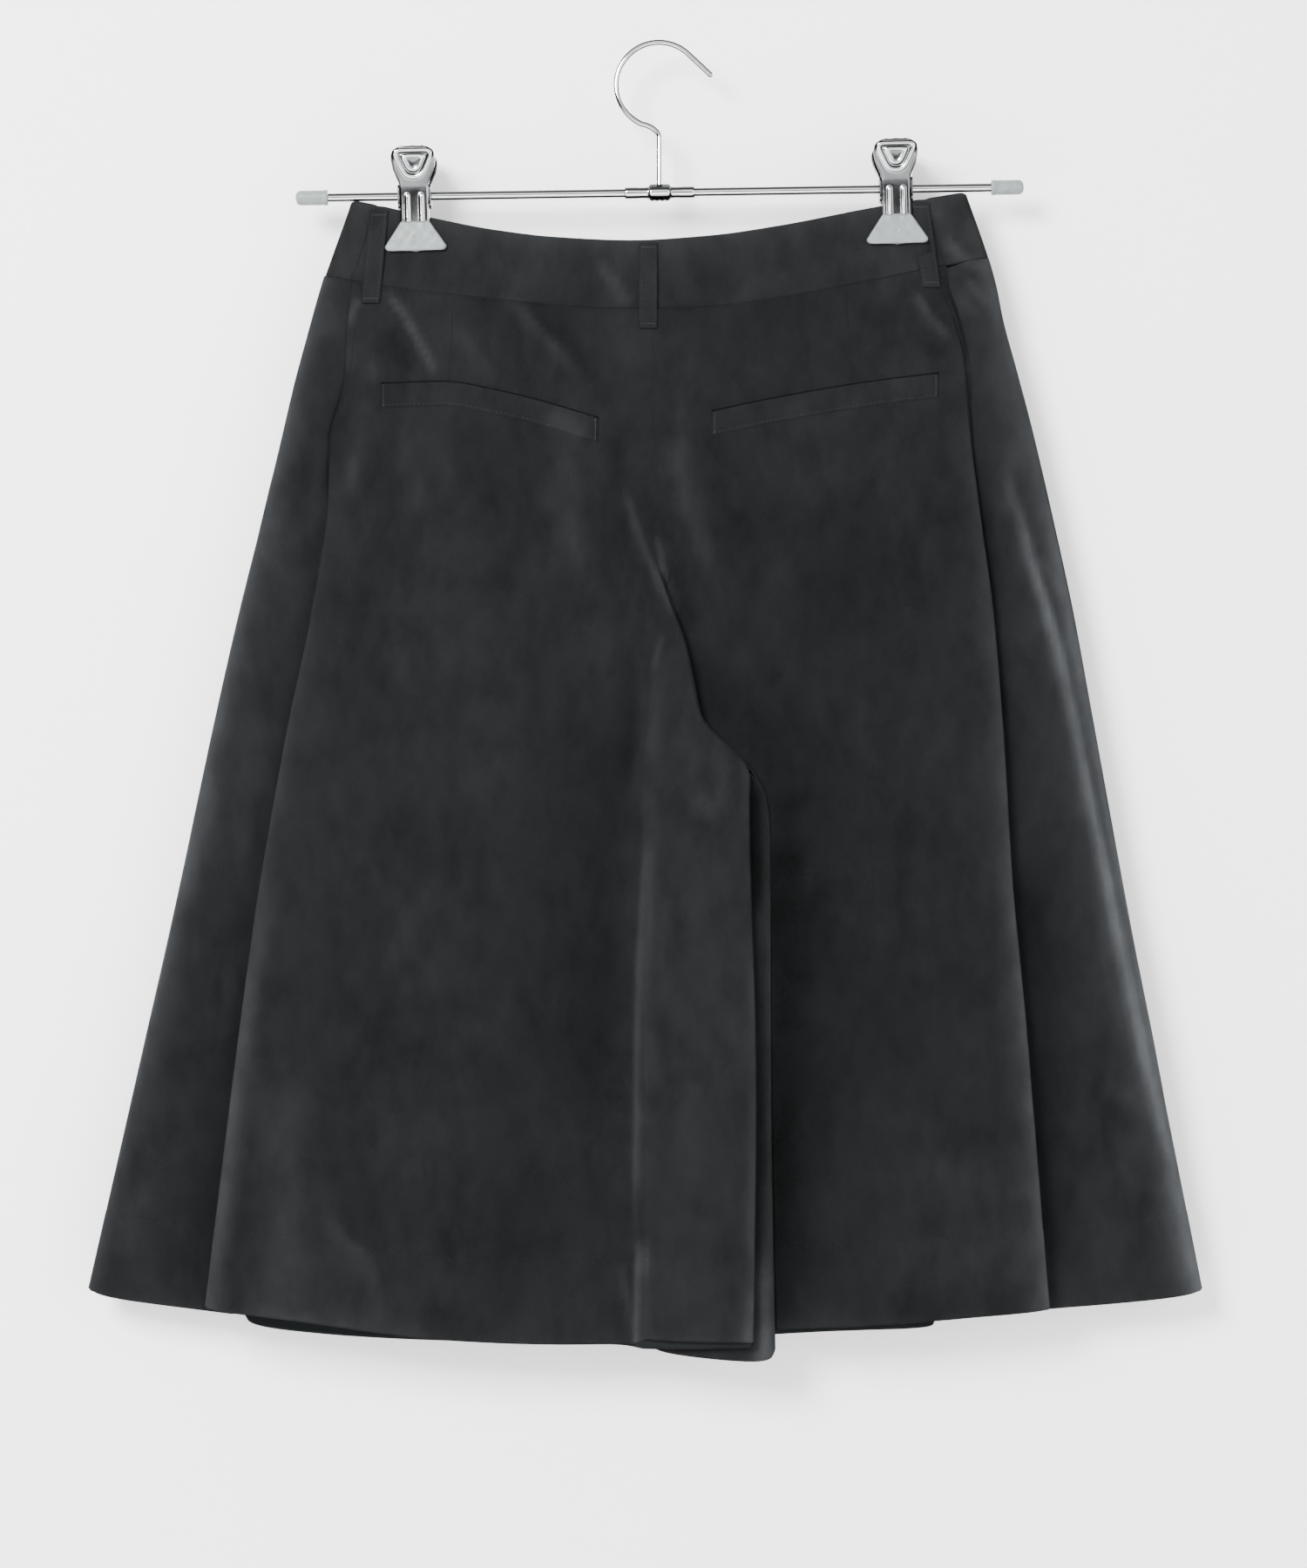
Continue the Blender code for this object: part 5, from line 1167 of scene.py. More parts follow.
def panel_wall(name):
    turned = PANELS[name][-1]
    points = GRIDS[name].copy()
    normals = normals_of(points, turned)
    x, level = points[..., 0], -points[..., 2]
    to_back, to_front = facing_shares(normals, 0.55)
    rows, columns = (np.arange(count) for count in x.shape)
    from_ends = fade_in(columns, 0, HELD_COLUMNS) * fade_in(columns[::-1], 0, HELD_COLUMNS)
    free = fade_in(rows, 0, HELD_ROWS)[:, None] * from_ends[None, :]
    raised = marks(BACK_RIDGES, x, level) * to_back + marks(FRONT_RIDGES, x, level) * to_front
    raised = raised + hang_waves(x, level) * np.maximum(to_back, to_front)
    seen = BACK_PILE_AND_PAINTED_LIGHT if name.startswith("back") else WING_PILE_AND_PAINTED_LIGHT
    points += normals * (raised * free)[..., None]
    # on the cloth's colour: strokes with painted shade and highlights, painted sheen on the folds, and a
    # painted highlight along the hem
    lift = marks(seen, x, level) * to_back + marks(FRONT_PILE_AND_PAINTED_LIGHT, x, level) * to_front
    lift += paint_fold_sheen(name, x, level)
    lift[-len(HEM_ROWS):] += HEM_PAINTED_HIGHLIGHT * np.exp(-np.array(HEM_ROWS) / HEM_REACH)[:, None]
    hem = [BODY_ROWS + index for index, far in enumerate(HEM_ROWS) if far < HEM_TURN]
    woven_side, pile_side = np.full((2, *x.shape), CLOTH_WALL / 2)
    woven_side[hem] += HEM_EXTRA
    pile_side[hem] += HEM_PROUD
    pile_side[DENT_ROW] -= HEM_DENT
    return shell(f"{name}_cloth", points, turned, pile_side, woven_side, (CLOTH, WRONG_SIDE), lift,
                 hem_painted_rim=-HEM_SHADE)


WALLS = {name: panel_wall(name) for name in PANELS}
AREAS = {name: area_of(GRIDS[name]) for name in PANELS}
print("panel areas in square metres:", {name: round(area, 3) for name, area in AREAS.items()})

# %% [markdown]
# ## Waistband
#
# The waistband is a shaped band of two layers with stiffening between them, so it stays smooth and
# stands a little proud of the panels. It is closed at the front, the right end lapping over the
# left. At each side the clips pull it flat, and it turns round the outer edge in a tight fold.

# %% The band's middle surface
BAND_SIDE_SEAMS = {"left": -155.2, "right": 145.6}
BAND_EDGES = {"left": -168.9, "right": 167.9}
EDGE_TURN = 2.4
BAND_FLARE = 0.36  # how far the band leans outwards at the sides, per length down
BAND_BULGE = {-1: 7.6, 1: 8}  # depth at the middle, at the back and at the front
PAD_LEVEL = 116
BAND_FOOT_LEVEL = 146
# across, share of the bulge at the grips' level, share at the waist seam
BAND_DEPTH = ((-190, 0.29, 0.4), (-167, 0.26, 0.42), (-153, 0.2, 0.48), (-108, 0.2, 0.66),
              (-60, 0.68, 1.05), (-6, 1, 1.16), (56, 0.68, 1.05), (102, 0.2, 0.66),
              (150, 0.2, 0.48), (164, 0.26, 0.42), (190, 0.29, 0.4))
LAP = 16  # how far each front band passes the middle
LAP_RAMP = 12
LAP_LIFT = 2.5
BAND_ROWS = np.array((0, 0.012, 0.035, 0.08, 0.15, 0.24, 0.34, 0.45, 0.56, 0.67, 0.78, 0.87, 0.93,
                      0.968, 0.99, 1))


def band_depth(x, level, face):
    """Depth of the waistband's middle surface: face is -1 at the back and 1 at the front."""
    low = np.clip((level - PAD_LEVEL) / (BAND_FOOT_LEVEL - PAD_LEVEL), 0, 1)
    spots, upper, lower = zip(*BAND_DEPTH)
    return face * BAND_BULGE[face] * blend(smooth(x, spots, upper), smooth(x, spots, lower), low)


def band_grid(spots, face):
    """Points of a stretch of band between two ends, from its upper edge to the waist seam."""
    seam_at = front_top if face > 0 else back_top
    points = np.zeros((len(BAND_ROWS), len(spots), 3))
    for column, spot in enumerate(spots):
        lean = BAND_FLARE * spot / FRONT_REACH
        top = across(BAND_TOP, spot) + (front_dip(spot) if face > 0 else 0)
        low = seam_at(spot + lean * (seam_at(spot) - top)) - BAND_GAP
        levels = blend(top, low, BAND_ROWS)
        points[:, column, 0] = spot + lean * (levels - top)
        points[:, column, 1] = band_depth(points[:, column, 0], levels, face)
        points[:, column, 2] = -levels
    return points


def front_band_grid(side):
    """Points of a front band, from the side seam round the outer edge to past the middle."""
    out = OUTWARD[side]
    start = BAND_SIDE_SEAMS[side] + out * SEAM_GAP
    turn_at = BAND_EDGES[side] - out * EDGE_TURN
    back = band_grid(np.linspace(start, turn_at, 8), -1)
    front = band_grid(np.linspace(turn_at, -out * LAP, 62), 1)
    if side == "right":  # this end laps over the other
        front[:, :, 1] += LAP_LIFT * fade_in(LAP + LAP_RAMP - front[:, :, 0], 0, LAP_RAMP)
    turn = []
    for angle in np.radians(np.linspace(18, 162, 9)):  # half a circle between the two layers
        ring = blend(back[:, -1:], front[:, :1], 0.5 - 0.5 * math.cos(angle))
        ring[:, :, 0] += out * EDGE_TURN * math.sin(angle)
        turn.append(ring)
    return np.concatenate([back, *turn, front], axis=1)


# %% The three bands
BAND_PAINTED_HIGHLIGHT = 0.30  # a painted highlight along its upper edge
BAND_PAINTED_HIGHLIGHT_REACH = 0.14  # of the band's height
BAND_TONE = 0.072  # all of it is a little lighter than the panels
BAND_WAVES = 0.35
SEWN_THIN = 0.22  # each skin sinks this much along its two long edges


def band_wall(name, points, turned):
    normals = normals_of(points, turned)
    x, level = points[..., 0], -points[..., 2]
    to_back, to_front = facing_shares(normals, 0.5)
    raised = BAND_WAVES * hang_waves(1.7 * x + 60, 2 * level) * np.sin(np.pi * BAND_ROWS)[:, None]
    # strokes with painted shade and highlights, a lighter tone, and a painted highlight along the upper edge
    lift = marks(BACK_PILE_AND_PAINTED_LIGHT + WING_PILE_AND_PAINTED_LIGHT, x, level) * to_back + marks(FRONT_PILE_AND_PAINTED_LIGHT, x, level) * to_front
    lift += BAND_TONE + BAND_PAINTED_HIGHLIGHT * np.exp(-BAND_ROWS / BAND_PAINTED_HIGHLIGHT_REACH)[:, None]
    half = np.full(x.shape, BAND_CLOTH / 2)
    half[[0, -1]] -= SEWN_THIN
    points = points + normals * raised[..., None]
    return shell(f"{name}_cloth", points, turned, half, half, (TRIM, WRONG_SIDE), lift)


BANDS = {"waistband_back": (band_grid(np.linspace(*BAND_SIDE_SEAMS.values(), 92), -1), -1)}
for side in OUTWARD:
    BANDS[f"waistband_front_{side}"] = (front_band_grid(side), -OUTWARD[side])
for name, (points, turned) in BANDS.items():
    WALLS[name] = band_wall(name, points, turned)
    AREAS[name] = area_of(points)
    print(name, "middle area", round(AREAS[name] * 1e4), "square centimetres")

# %% [markdown]
# ## What lies on the cloth
#
# Belt loops, welts, seams and stitches lie on the finished walls. Rays sent straight at the garment
# from its back or its front find the outermost cloth, so each of them follows the creases.

# %% Finding the outer face
RAY_START = 200


def tree_of(pieces):
    """One search tree over the triangles of several pieces, in millimetres."""
    corners, faces = [], []
    for piece in pieces:
        start = len(corners)
        corners += [vertex.co / MM for vertex in piece.data.vertices]
        faces += [tuple(start + index for index in face.vertices) for face in piece.data.polygons]
    return BVHTree.FromPolygons(corners, faces)


def outer_depth(tree, x, level, face):
    """Depth of the outermost cloth, or None beside the garment."""
    hit = tree.ray_cast(Vector((x, face * RAY_START, -level)), Vector((0, -face, 0)))[0]
    return hit.y if hit else None


def lay(path, face, step=1.5, lift=0):
    """Points every few millimetres along a path of (across, level), on the outer face of all the cloth."""
    path = np.array(path, float)
    gone = np.concatenate([[0], np.cumsum(np.linalg.norm(np.diff(path, axis=0), axis=1))])
    spots = np.linspace(0, gone[-1], max(2, round(gone[-1] / step) + 1))
    laid = []
    for x, level in zip(smooth(spots, gone, path[:, 0]), smooth(spots, gone, path[:, 1])):
        depth = outer_depth(ALL_CLOTH, x, level, face)
        if depth is not None:
            laid.append((x, depth + face * lift, -level))
    return laid


GROUND = tree_of(WALLS.values())
print("depth at the middle of the back:", round(outer_depth(GROUND, 0, 250, -1), 1), "mm")

# %% Belt loops: folded strips, held at both ends and free between them
LOOP_WIDTH = 9.6
LOOP_STAND = 0.9  # how far a belt loop stands off at its middle
# face, then for each loop: where its upper end is, across and by level, and its lower end
LOOPS = {
    -1: {"belt_loop_back": (-6.2, 110.6, -6.4, 157.4),
         "belt_loop_side_left": (-154.2, 92, -158.8, 142.6),
         "belt_loop_side_right": (143.2, 87.6, 149.4, 133.8)},
    1: {"belt_loop_front_left": (-78, 115, -80, 161),
        "belt_loop_front_right": (76, 110, 78, 156)},
}
LOOP_GAP = 0.1  # above the band, where it is sewn down
STRIP_CLOTH = 0.7  # belt loops and pocket welts
LOOP_LIGHT = 0.12  # a tone lighter than the band
LOOP_SHARES = np.concatenate([[0, 0.015, 0.04], np.linspace(0.08, 0.92, 24), [0.96, 0.985, 1]])
LOOP_COLUMNS = np.array((-0.5, -0.47, -0.40, -0.37, -0.2, 0, 0.2, 0.37, 0.40, 0.47, 0.5))
LOOP_CROWN = (0, 0.10, 0.16, 0.11, 0.18, 0.21, 0.18, 0.11, 0.16, 0.10, 0)  # stitched in at two lines
GRIP_REACH = 132.3  # the middle of the right grip, which covers the near edge of one loop, and some room


def grip_edge(level):
    """Where the right clip's grip ends beside the right loop."""
    if not 90 < level < 116.0:
        return -math.inf
    return GRIP_REACH + blend(7.8, 16.6, fade_in(level, 97, 110))


def belt_loop(name, ends, face):
    top_x, top_level, bottom_x, bottom_level = ends
    points = np.zeros((len(LOOP_SHARES), len(LOOP_COLUMNS), 3))
    for row, share in enumerate(LOOP_SHARES):
        spots = blend(top_x, bottom_x, share) + LOOP_WIDTH * LOOP_COLUMNS
        level = blend(top_level, bottom_level, share)
        if name == "belt_loop_side_right":
            near = max(spots[0], grip_edge(level))
            spots = np.interp(spots, (spots[0], spots[-1]), (near, spots[-1]))
        depths = [outer_depth(GROUND, spot, level, face) for spot in spots]
        depth = max(face * depth for depth in depths if depth is not None)
        height = depth + LOOP_GAP + STRIP_CLOTH / 2 + LOOP_STAND * math.sin(math.pi * share) ** 2
        for column, spot in enumerate(spots):
            points[row, column] = (spot, face * (height + LOOP_CROWN[column]), -level)
    for _ in range(2):  # the strip is stiffer than what lies under it
        depths = points[:, :, 1].copy()
        points[1:-1, :, 1] = (depths[:-2] + 2 * depths[1:-1] + depths[2:]) / 4
    lift = np.full(points.shape[:2], LOOP_LIGHT)
    half = STRIP_CLOTH / 2
    return shell(f"{name}_cloth", points, face, half, half, (TRIM, TRIM), lift, rim=0)


for face, loops in LOOPS.items():
    for name, ends in loops.items():
        WALLS[name] = belt_loop(name, ends, face)
print("belt loops:", sum(map(len, LOOPS.values())))

# %% Pocket welts: a stiffened strip sewn below each pocket mouth, standing up to its edge
WELT_HEIGHT = 13
WELT_GAP = 0.05
WELT_EDGES = {
    "left": ((-153, 187.8), (-119, 187), (-87, 192.4), (-65, 197.8), (-33.6, 207.2)),
    "right": ((28.4, 203.6), (62, 196.4), (109, 188), (153, 182)),
}
WELT_ROWS = np.array((0, 0.02, 0.06, 0.12, 0.3, 0.5, 0.7, 0.84, 0.89, 0.95, 0.985, 1))
WELT_MOUTH = 0.6  # how far the upper edge stands off
WELT_FOOT = 0.2  # pressed thin where it is sewn down
WELT_EDGE_PAINTED_SHADE = 0.22  # painted shade along its edges, in place of a painted highlight
STITCH_DENT = 0.16  # where its row of stitches pulls it in


def pocket_welt(side, edge):
    columns = np.linspace(edge[0][0], edge[-1][0], 64)
    points = np.zeros((len(WELT_ROWS), len(columns), 3))
    from_end = np.ptp(columns) / 2 - np.abs(columns - columns.mean())
    pressed = np.maximum(fade_in(WELT_ROWS, 0.84, 0.97)[:, None], 1 - fade_in(from_end, 0, 2.5))
    half = blend(STRIP_CLOTH, WELT_FOOT, pressed) / 2
    dents = STITCH_DENT * np.exp(-(((WELT_ROWS - 0.87) / 0.04) ** 2))
    for column, x in enumerate(columns):
        mouth = WELT_MOUTH * math.sin(math.pi * column / (len(columns) - 1)) ** 0.5
        for row, share in enumerate(WELT_ROWS):
            level = across(edge, x) + WELT_HEIGHT * share
            stand = WELT_GAP + half[row, column] + mouth * (1 - share) ** 2 - dents[row]
            points[row, column] = (x, outer_depth(GROUND, x, level, -1) - stand, -level)
    for _ in range(3):
        points[:, 1:-1, 1] = (points[:, :-2, 1] + 2 * points[:, 1:-1, 1] + points[:, 2:, 1]) / 4
    # strokes with painted shade and highlights, as on the panel
    lift = marks(BACK_PILE_AND_PAINTED_LIGHT, points[..., 0], -points[..., 2])
    return shell(f"pocket_welt_{side}_cloth", points, -1, half, half, (TRIM, TRIM), lift, rim=-WELT_EDGE_PAINTED_SHADE)


for side, edge in WELT_EDGES.items():
    WALLS[f"pocket_welt_{side}"] = pocket_welt(side, edge)
ALL_CLOTH = tree_of(WALLS.values())
print("pieces of cloth:", len(WALLS))

# %% [markdown]
# ## Seams and stitches
#
# A seam is a groove where two pieces turn in towards each other. A thin cord laid in the gap gives
# that rounded bottom. Stitches are the same short thread again and again, so Geometry Nodes place
# them: the tree samples a path at the stitch length and lays one small thread along it each time.
# The wire of the hook and the springs is drawn by the cord's tree, with a thicker radius.

# %% Two node trees: a drawn cord and a row of stitches


def start_tree(name, **inputs):
    """A geometry tree with its sockets, and the curves of the paths that it is given."""
    tree = bpy.data.node_groups.new(name, "GeometryNodeTree")
    socket(tree, "Paths", "NodeSocketGeometry", "INPUT")
    for title, value in inputs.items():
        socket(tree, title, "NodeSocketInt" if isinstance(value, int) else "NodeSocketFloat", "INPUT", value)
    socket(tree, "Finish", "NodeSocketMaterial", "INPUT")
    socket(tree, "Made", "NodeSocketGeometry", "OUTPUT")
    given = tree.nodes.new("NodeGroupInput").outputs
    return tree, given, add(tree, "GeometryNodeMeshToCurve", {"Mesh": given["Paths"]}).outputs["Curve"]


def end_tree(tree, given, geometry):
    """Every tree ends the same way: smooth, real geometry, with its finish."""
    soft = add(tree, "GeometryNodeSetShadeSmooth", {0: geometry}).outputs[0]
    real = add(tree, "GeometryNodeRealizeInstances", {"Geometry": soft}).outputs["Geometry"]
    done = add(tree, "GeometryNodeSetMaterial", {"Geometry": real, "Material": given["Finish"]})
    add(tree, "NodeGroupOutput", {"Made": done.outputs["Geometry"]})
    return tree


def make_cord_tree():
    tree, given, line = start_tree("drawn cord", Radius=0.0003, Sides=8)
    ring = add(tree, "GeometryNodeCurvePrimitiveCircle", {
        "Resolution": given["Sides"], "Radius": given["Radius"]}).outputs["Curve"]
    tube = add(tree, "GeometryNodeCurveToMesh", {"Curve": line, "Profile Curve": ring, "Fill Caps": True})
    return end_tree(tree, given, tube.outputs["Mesh"])


def make_stitch_tree():
    tree, given, line = start_tree("row of stitches", Pitch=0.0024, Stitch=0.0017, Thread=0.00016, Seed=4)
    spots = add(tree, "GeometryNodeResampleCurve", {"Curve": line, "Length": given["Pitch"]}, mode="LENGTH")
    way = add(tree, "GeometryNodeInputTangent").outputs["Tangent"]
    turn = add(tree, "FunctionNodeAlignRotationToVector", {"Vector": way}, axis="X").outputs["Rotation"]
    thread = add(tree, "GeometryNodeMeshUVSphere", {"Segments": 6, "Rings": 5, "Radius": 1}).outputs["Mesh"]
    half = add(tree, "ShaderNodeMath", {0: given["Stitch"], 1: 0.5}, operation="MULTIPLY").outputs[0]
    size = {"X": half, "Y": given["Thread"], "Z": given["Thread"]}
    shape = add(tree, "ShaderNodeCombineXYZ", size).outputs[0]
    spans = {2: 0.86, 3: 1.08, "Seed": given["Seed"]}
    uneven = add(tree, "FunctionNodeRandomValue", spans, data_type="FLOAT")
    row = add(tree, "GeometryNodeInstanceOnPoints", {
        "Points": spots.outputs["Curve"], "Instance": thread, "Rotation": turn,
        "Scale": dimmed(tree, shape, uneven.outputs[1])})
    return end_tree(tree, given, row.outputs["Instances"])


CORD = make_cord_tree()
STITCHES = make_stitch_tree()

# %% Running a tree over paths
EXTRAS = {}  # what stands for no CAD piece


def evaluated_mesh(piece):
    return bpy.data.meshes.new_from_object(piece.evaluated_get(bpy.context.evaluated_depsgraph_get()))


def grow(name, tree, paths, finish, **sizes):
    """Runs a node tree over paths in millimetres and keeps what it makes as a plain mesh."""
    corners, edges = [], []
    for path in paths:
        start = len(corners)
        corners += [Vector(point) * MM for point in path]
        edges += [(start + index, start + index + 1) for index in range(len(path) - 1)]
    mesh = bpy.data.meshes.new(name)
    mesh.from_pydata(corners, edges, [])
    carrier = keep(name, mesh)
    modifier = carrier.modifiers.new("grow", "NODES")
    modifier.node_group = tree
    values = {"Finish": finish, **sizes}
    for item in tree.interface.items_tree:
        if item.item_type == "SOCKET" and item.in_out == "INPUT" and item.name in values:
            modifier[item.identifier] = values[item.name]
    made = evaluated_mesh(carrier)
    bpy.data.objects.remove(carrier)
    made.name = name
    return keep(name, made)


def lay_cord(name, paths, finish, radius, sides=8):
    EXTRAS[name] = grow(name, CORD, paths, finish, Radius=radius * MM, Sides=sides)


def sew(name, paths, **sizes):
    """Stitches along paths; their sizes are in millimetres."""
    EXTRAS[name] = grow(name, STITCHES, paths, THREAD, **{title: size * MM for title, size in sizes.items()})


# %% Where the seams run
FORK_LEVEL = 398
FORK_END = 12  # below the fork, the inseams start
DARTS = (((-113.8, 141.5), (-113.9, 157.4), (-116.2, 186)), ((101.8, 136), (104.2, 164), (105.6, 188)))
POCKET_SLIT = ((-169.9, 183.8), (-174.5, 201), (-180.5, 220.3))
DART_SINK = 0.12
MOUTH_RISE = 0.4


def between_edges(near, far, kept=slice(None)):
    """The line halfway between two neighbouring edges."""
    return [tuple(point) for point in 0.5 * (near + far)[kept]]


def seam_paths():
    """Side seams, then the seat's and the front's seam down to the fork, then an inseam for each leg."""
    starts = {name: grid[:, 0] for name, grid in GRIDS.items()}
    ends = {name: grid[:, -1] for name, grid in GRIDS.items()}
    paths = [between_edges(ends[f"back_panel_{side}"], starts[f"front_panel_{side}"]) for side in OUTWARD]
    for word, edges in (("back", starts), ("front", ends)):
        left, right = edges[f"{word}_panel_left"], edges[f"{word}_panel_right"]
        paths.append(between_edges(left, right, -left[:, 2] < FORK_LEVEL))
    apart = -starts["back_panel_left"][:, 2] > FORK_LEVEL + FORK_END
    for side in OUTWARD:
        paths.append(between_edges(starts[f"back_panel_{side}"], ends[f"front_panel_{side}"], apart))
    return paths


def band_seam_paths():
    """Under the waistband, all the way round, between its lower edge and the panels' first row."""
    return [[(x, y, z - BAND_GAP / 2) for x, y, z in points[-1]] for points, _ in BANDS.values()]


dart_lines = [lay(path, -1, lift=-DART_SINK) for path in (*DARTS, POCKET_SLIT)]
mouth_lines = [lay([(x, level - MOUTH_RISE) for x, level in edge], -1) for edge in WELT_EDGES.values()]
lay_cord("seam_cords", seam_paths(), TRIM, 0.5)
lay_cord("waist_seam_cord", band_seam_paths(), TRIM, 0.6)
lay_cord("dart_cords", dart_lines, TRIM, 0.28)
# a dark cord along each welt's upper edge: painted shade for the pocket mouth
lay_cord("pocket_mouth_painted_shade", mouth_lines, MOUTH, 0.5)
print("seams:", len(seam_paths()) + len(BANDS) + len(dart_lines))

# %% Where the stitches run
THREAD_LIFT, BAR_LIFT = 0.03, 0.1
LOOP_INSET = 1.25
BAR_HALF_LENGTH = 3.6
FLY = ((-32, 162), (-33, 215), (-32, 250), (-26, 272), (-12, 286), (-4.5, 291))
FLY_TACK = ((-5, 287), (-5, 295))


def loop_stitches(ends):
    """Two rows along a belt loop, and a bar of close stitches across each end."""
    top_x, top_level, bottom_x, bottom_level = ends
    rows = []
    for shift in (LOOP_INSET - LOOP_WIDTH / 2, LOOP_WIDTH / 2 - LOOP_INSET):
        rows.append(((top_x + shift, top_level + 1.5), (bottom_x + shift, bottom_level - 1.5)))
    bars = []
    for level, x in ((top_level + 2.2, top_x), (bottom_level - 2.4, bottom_x)):
        bars.append(((x - BAR_HALF_LENGTH, level), (x + BAR_HALF_LENGTH, level)))
    return rows, bars


def welt_stitches(edge):
    """A row just inside the lower edge of a welt, and a bar tack across each end."""
    start, end = edge[0][0], edge[-1][0]
    row = [(x, across(edge, x) + WELT_HEIGHT - 1.5) for x in np.linspace(start + 2, end - 2, 12)]
    tops = [(x, across(edge, x)) for x in (start + 1.6, end - 1.6)]
    bars = [((x, top + 0.8), (x, top + WELT_HEIGHT - 1)) for x, top in tops]
    return [row], bars


sewn = [(face, *loop_stitches(ends)) for face, loops in LOOPS.items() for ends in loops.values()]
sewn += [(-1, *welt_stitches(edge)) for edge in WELT_EDGES.values()]
sewn.append((1, [FLY], [FLY_TACK]))
sewn.sort(key=lambda rows: rows[0])  # the back first
laid_rows = [lay(path, face, lift=THREAD_LIFT) for face, rows, _ in sewn for path in rows]
laid_bars = [lay(path, face, step=1, lift=BAR_LIFT) for face, _, bars in sewn for path in bars]
sew("edge_stitches", laid_rows, Thread=0.09)
sew("bar_tacks", laid_bars, Pitch=0.45, Stitch=1.4, Thread=0.14)
print("stitched rows:", len(laid_rows), "bar tacks:", len(laid_bars))

# %% The hem: small pricks where the turned-up edge is caught down


def hem_paths():
    """The row of each panel where its hem allowance ends, on its outer skin."""
    paths = []
    for name, grid in GRIDS.items():
        start = DENT_ROW * grid.shape[1]
        spots = WALLS[name].data.vertices[start + 3 : start + grid.shape[1] - 3]
        paths.append([tuple(spot.co / MM) for spot in spots])
    return paths


sew("hem_pricks", hem_paths(), Pitch=6, Stitch=0.9, Thread=0.08)
print("stitch faces:", {name: len(piece.data.polygons) for name, piece in EXTRAS.items()})

# %% [markdown]
# ## Button
#
# A four-hole button of dark horn closes the front lap. It is a turned piece with a raised rim, and
# its holes are drilled, so its thread can pass through them in two bars.

# %% Turned pieces
SHARP_ANGLE = 50  # degrees


def closed_mesh(name, corners, faces, place):
    """A mesh from points in millimetres, set in its place and with its faces turned outwards."""
    mesh = bpy.data.meshes.new(name)
    mesh.from_pydata([place @ Vector(corner) * MM for corner in corners], [], faces)
    work = bmesh.new()
    work.from_mesh(mesh)
    bmesh.ops.recalc_face_normals(work, faces=work.faces)
    if work.calc_volume(signed=True) < 0:
        bmesh.ops.reverse_faces(work, faces=work.faces)
    work.to_mesh(mesh)
    work.free()
    mesh.shade_smooth()
    mesh.set_sharp_from_angle(angle=math.radians(SHARP_ANGLE))
    return mesh


def turn_piece(name, profile, finish, place, sides=48, axis="x", dent=None):
    """A piece turned round an axis from (along, radius) pairs, closed by points on the axis."""
    corners, rings = [], []
    for along, radius in profile:
        steps = 1 if radius == 0 else sides
        rings.append(range(len(corners), len(corners) + steps))
        for step in range(steps):
            angle = 2 * math.pi * step / sides
            wide = radius * (dent(along, angle) if dent and radius else 1)
            first, second = wide * math.cos(angle), wide * math.sin(angle)
            corners.append((along, first, second) if axis == "x" else (first, along, second))
    faces = []
    for ring, after in zip(rings, rings[1:]):
        for step in range(sides):
            here, there = ring[step % len(ring)], ring[(step + 1) % len(ring)]
            quad = (here, there, after[(step + 1) % len(after)], after[step % len(after)])
            faces.append(tuple(dict.fromkeys(quad)))
    return keep(name, closed_mesh(name, corners, faces, place), finish)


# %% The button, drilled
BUTTON_RADIUS, BUTTON_THICKNESS = 7.5, 3
BUTTON_LEVEL = 140
BUTTON_GAP = 0.6
BUTTON_LOW = float(band_depth(0, BUTTON_LEVEL, 1)) + LAP_LIFT + BAND_CLOTH / 2 + BUTTON_GAP
BUTTON_HIGH = BUTTON_LOW + BUTTON_THICKNESS
BUTTON_BACK = ((0, 7.5), (0, 1.2), (0.3, 0.4), (1, 0))  # depth above its back, in from its radius
BUTTON_FACE = ((0.9, 0), (0.25, 0.25), (0, 0.9), (0.1, 1.7), (0.65, 2.6), (0.8, 7.5))  # below its face
HOLE_RADIUS, HOLE_SPREAD = 0.75, 1.45
THREAD_STEP = 0.28
THREAD_FOOT, THREAD_SINK, THREAD_ARCH = 1.6, 0.95, 0.55


def build_button():
    name = "waist_button_horn"
    profile = [(BUTTON_LOW + up, BUTTON_RADIUS - inset) for up, inset in BUTTON_BACK]
    profile += [(BUTTON_HIGH - down, BUTTON_RADIUS - inset) for down, inset in BUTTON_FACE]
    button = turn_piece(name, profile, HORN, Matrix.Translation((0, 0, -BUTTON_LEVEL)), axis="y")
    low, high = BUTTON_LOW - 1, BUTTON_HIGH + 1
    shape = [(low, 0), (low, HOLE_RADIUS), (high, HOLE_RADIUS), (high, 0)]
    drills = []
    for x, z in ((-1, -1), (-1, 1), (1, -1), (1, 1)):
        place = Matrix.Translation((x * HOLE_SPREAD, 0, z * HOLE_SPREAD - BUTTON_LEVEL))
        drills.append(turn_piece("drill", shape, HORN, place, sides=20, axis="y"))
        cut = button.modifiers.new("hole", "BOOLEAN")
        cut.operation, cut.solver, cut.object = "DIFFERENCE", "EXACT", drills[-1]
    drilled = evaluated_mesh(button)
    for piece in (button, *drills):
        bpy.data.objects.remove(piece)
    drilled.name = name
    return keep(name, drilled)


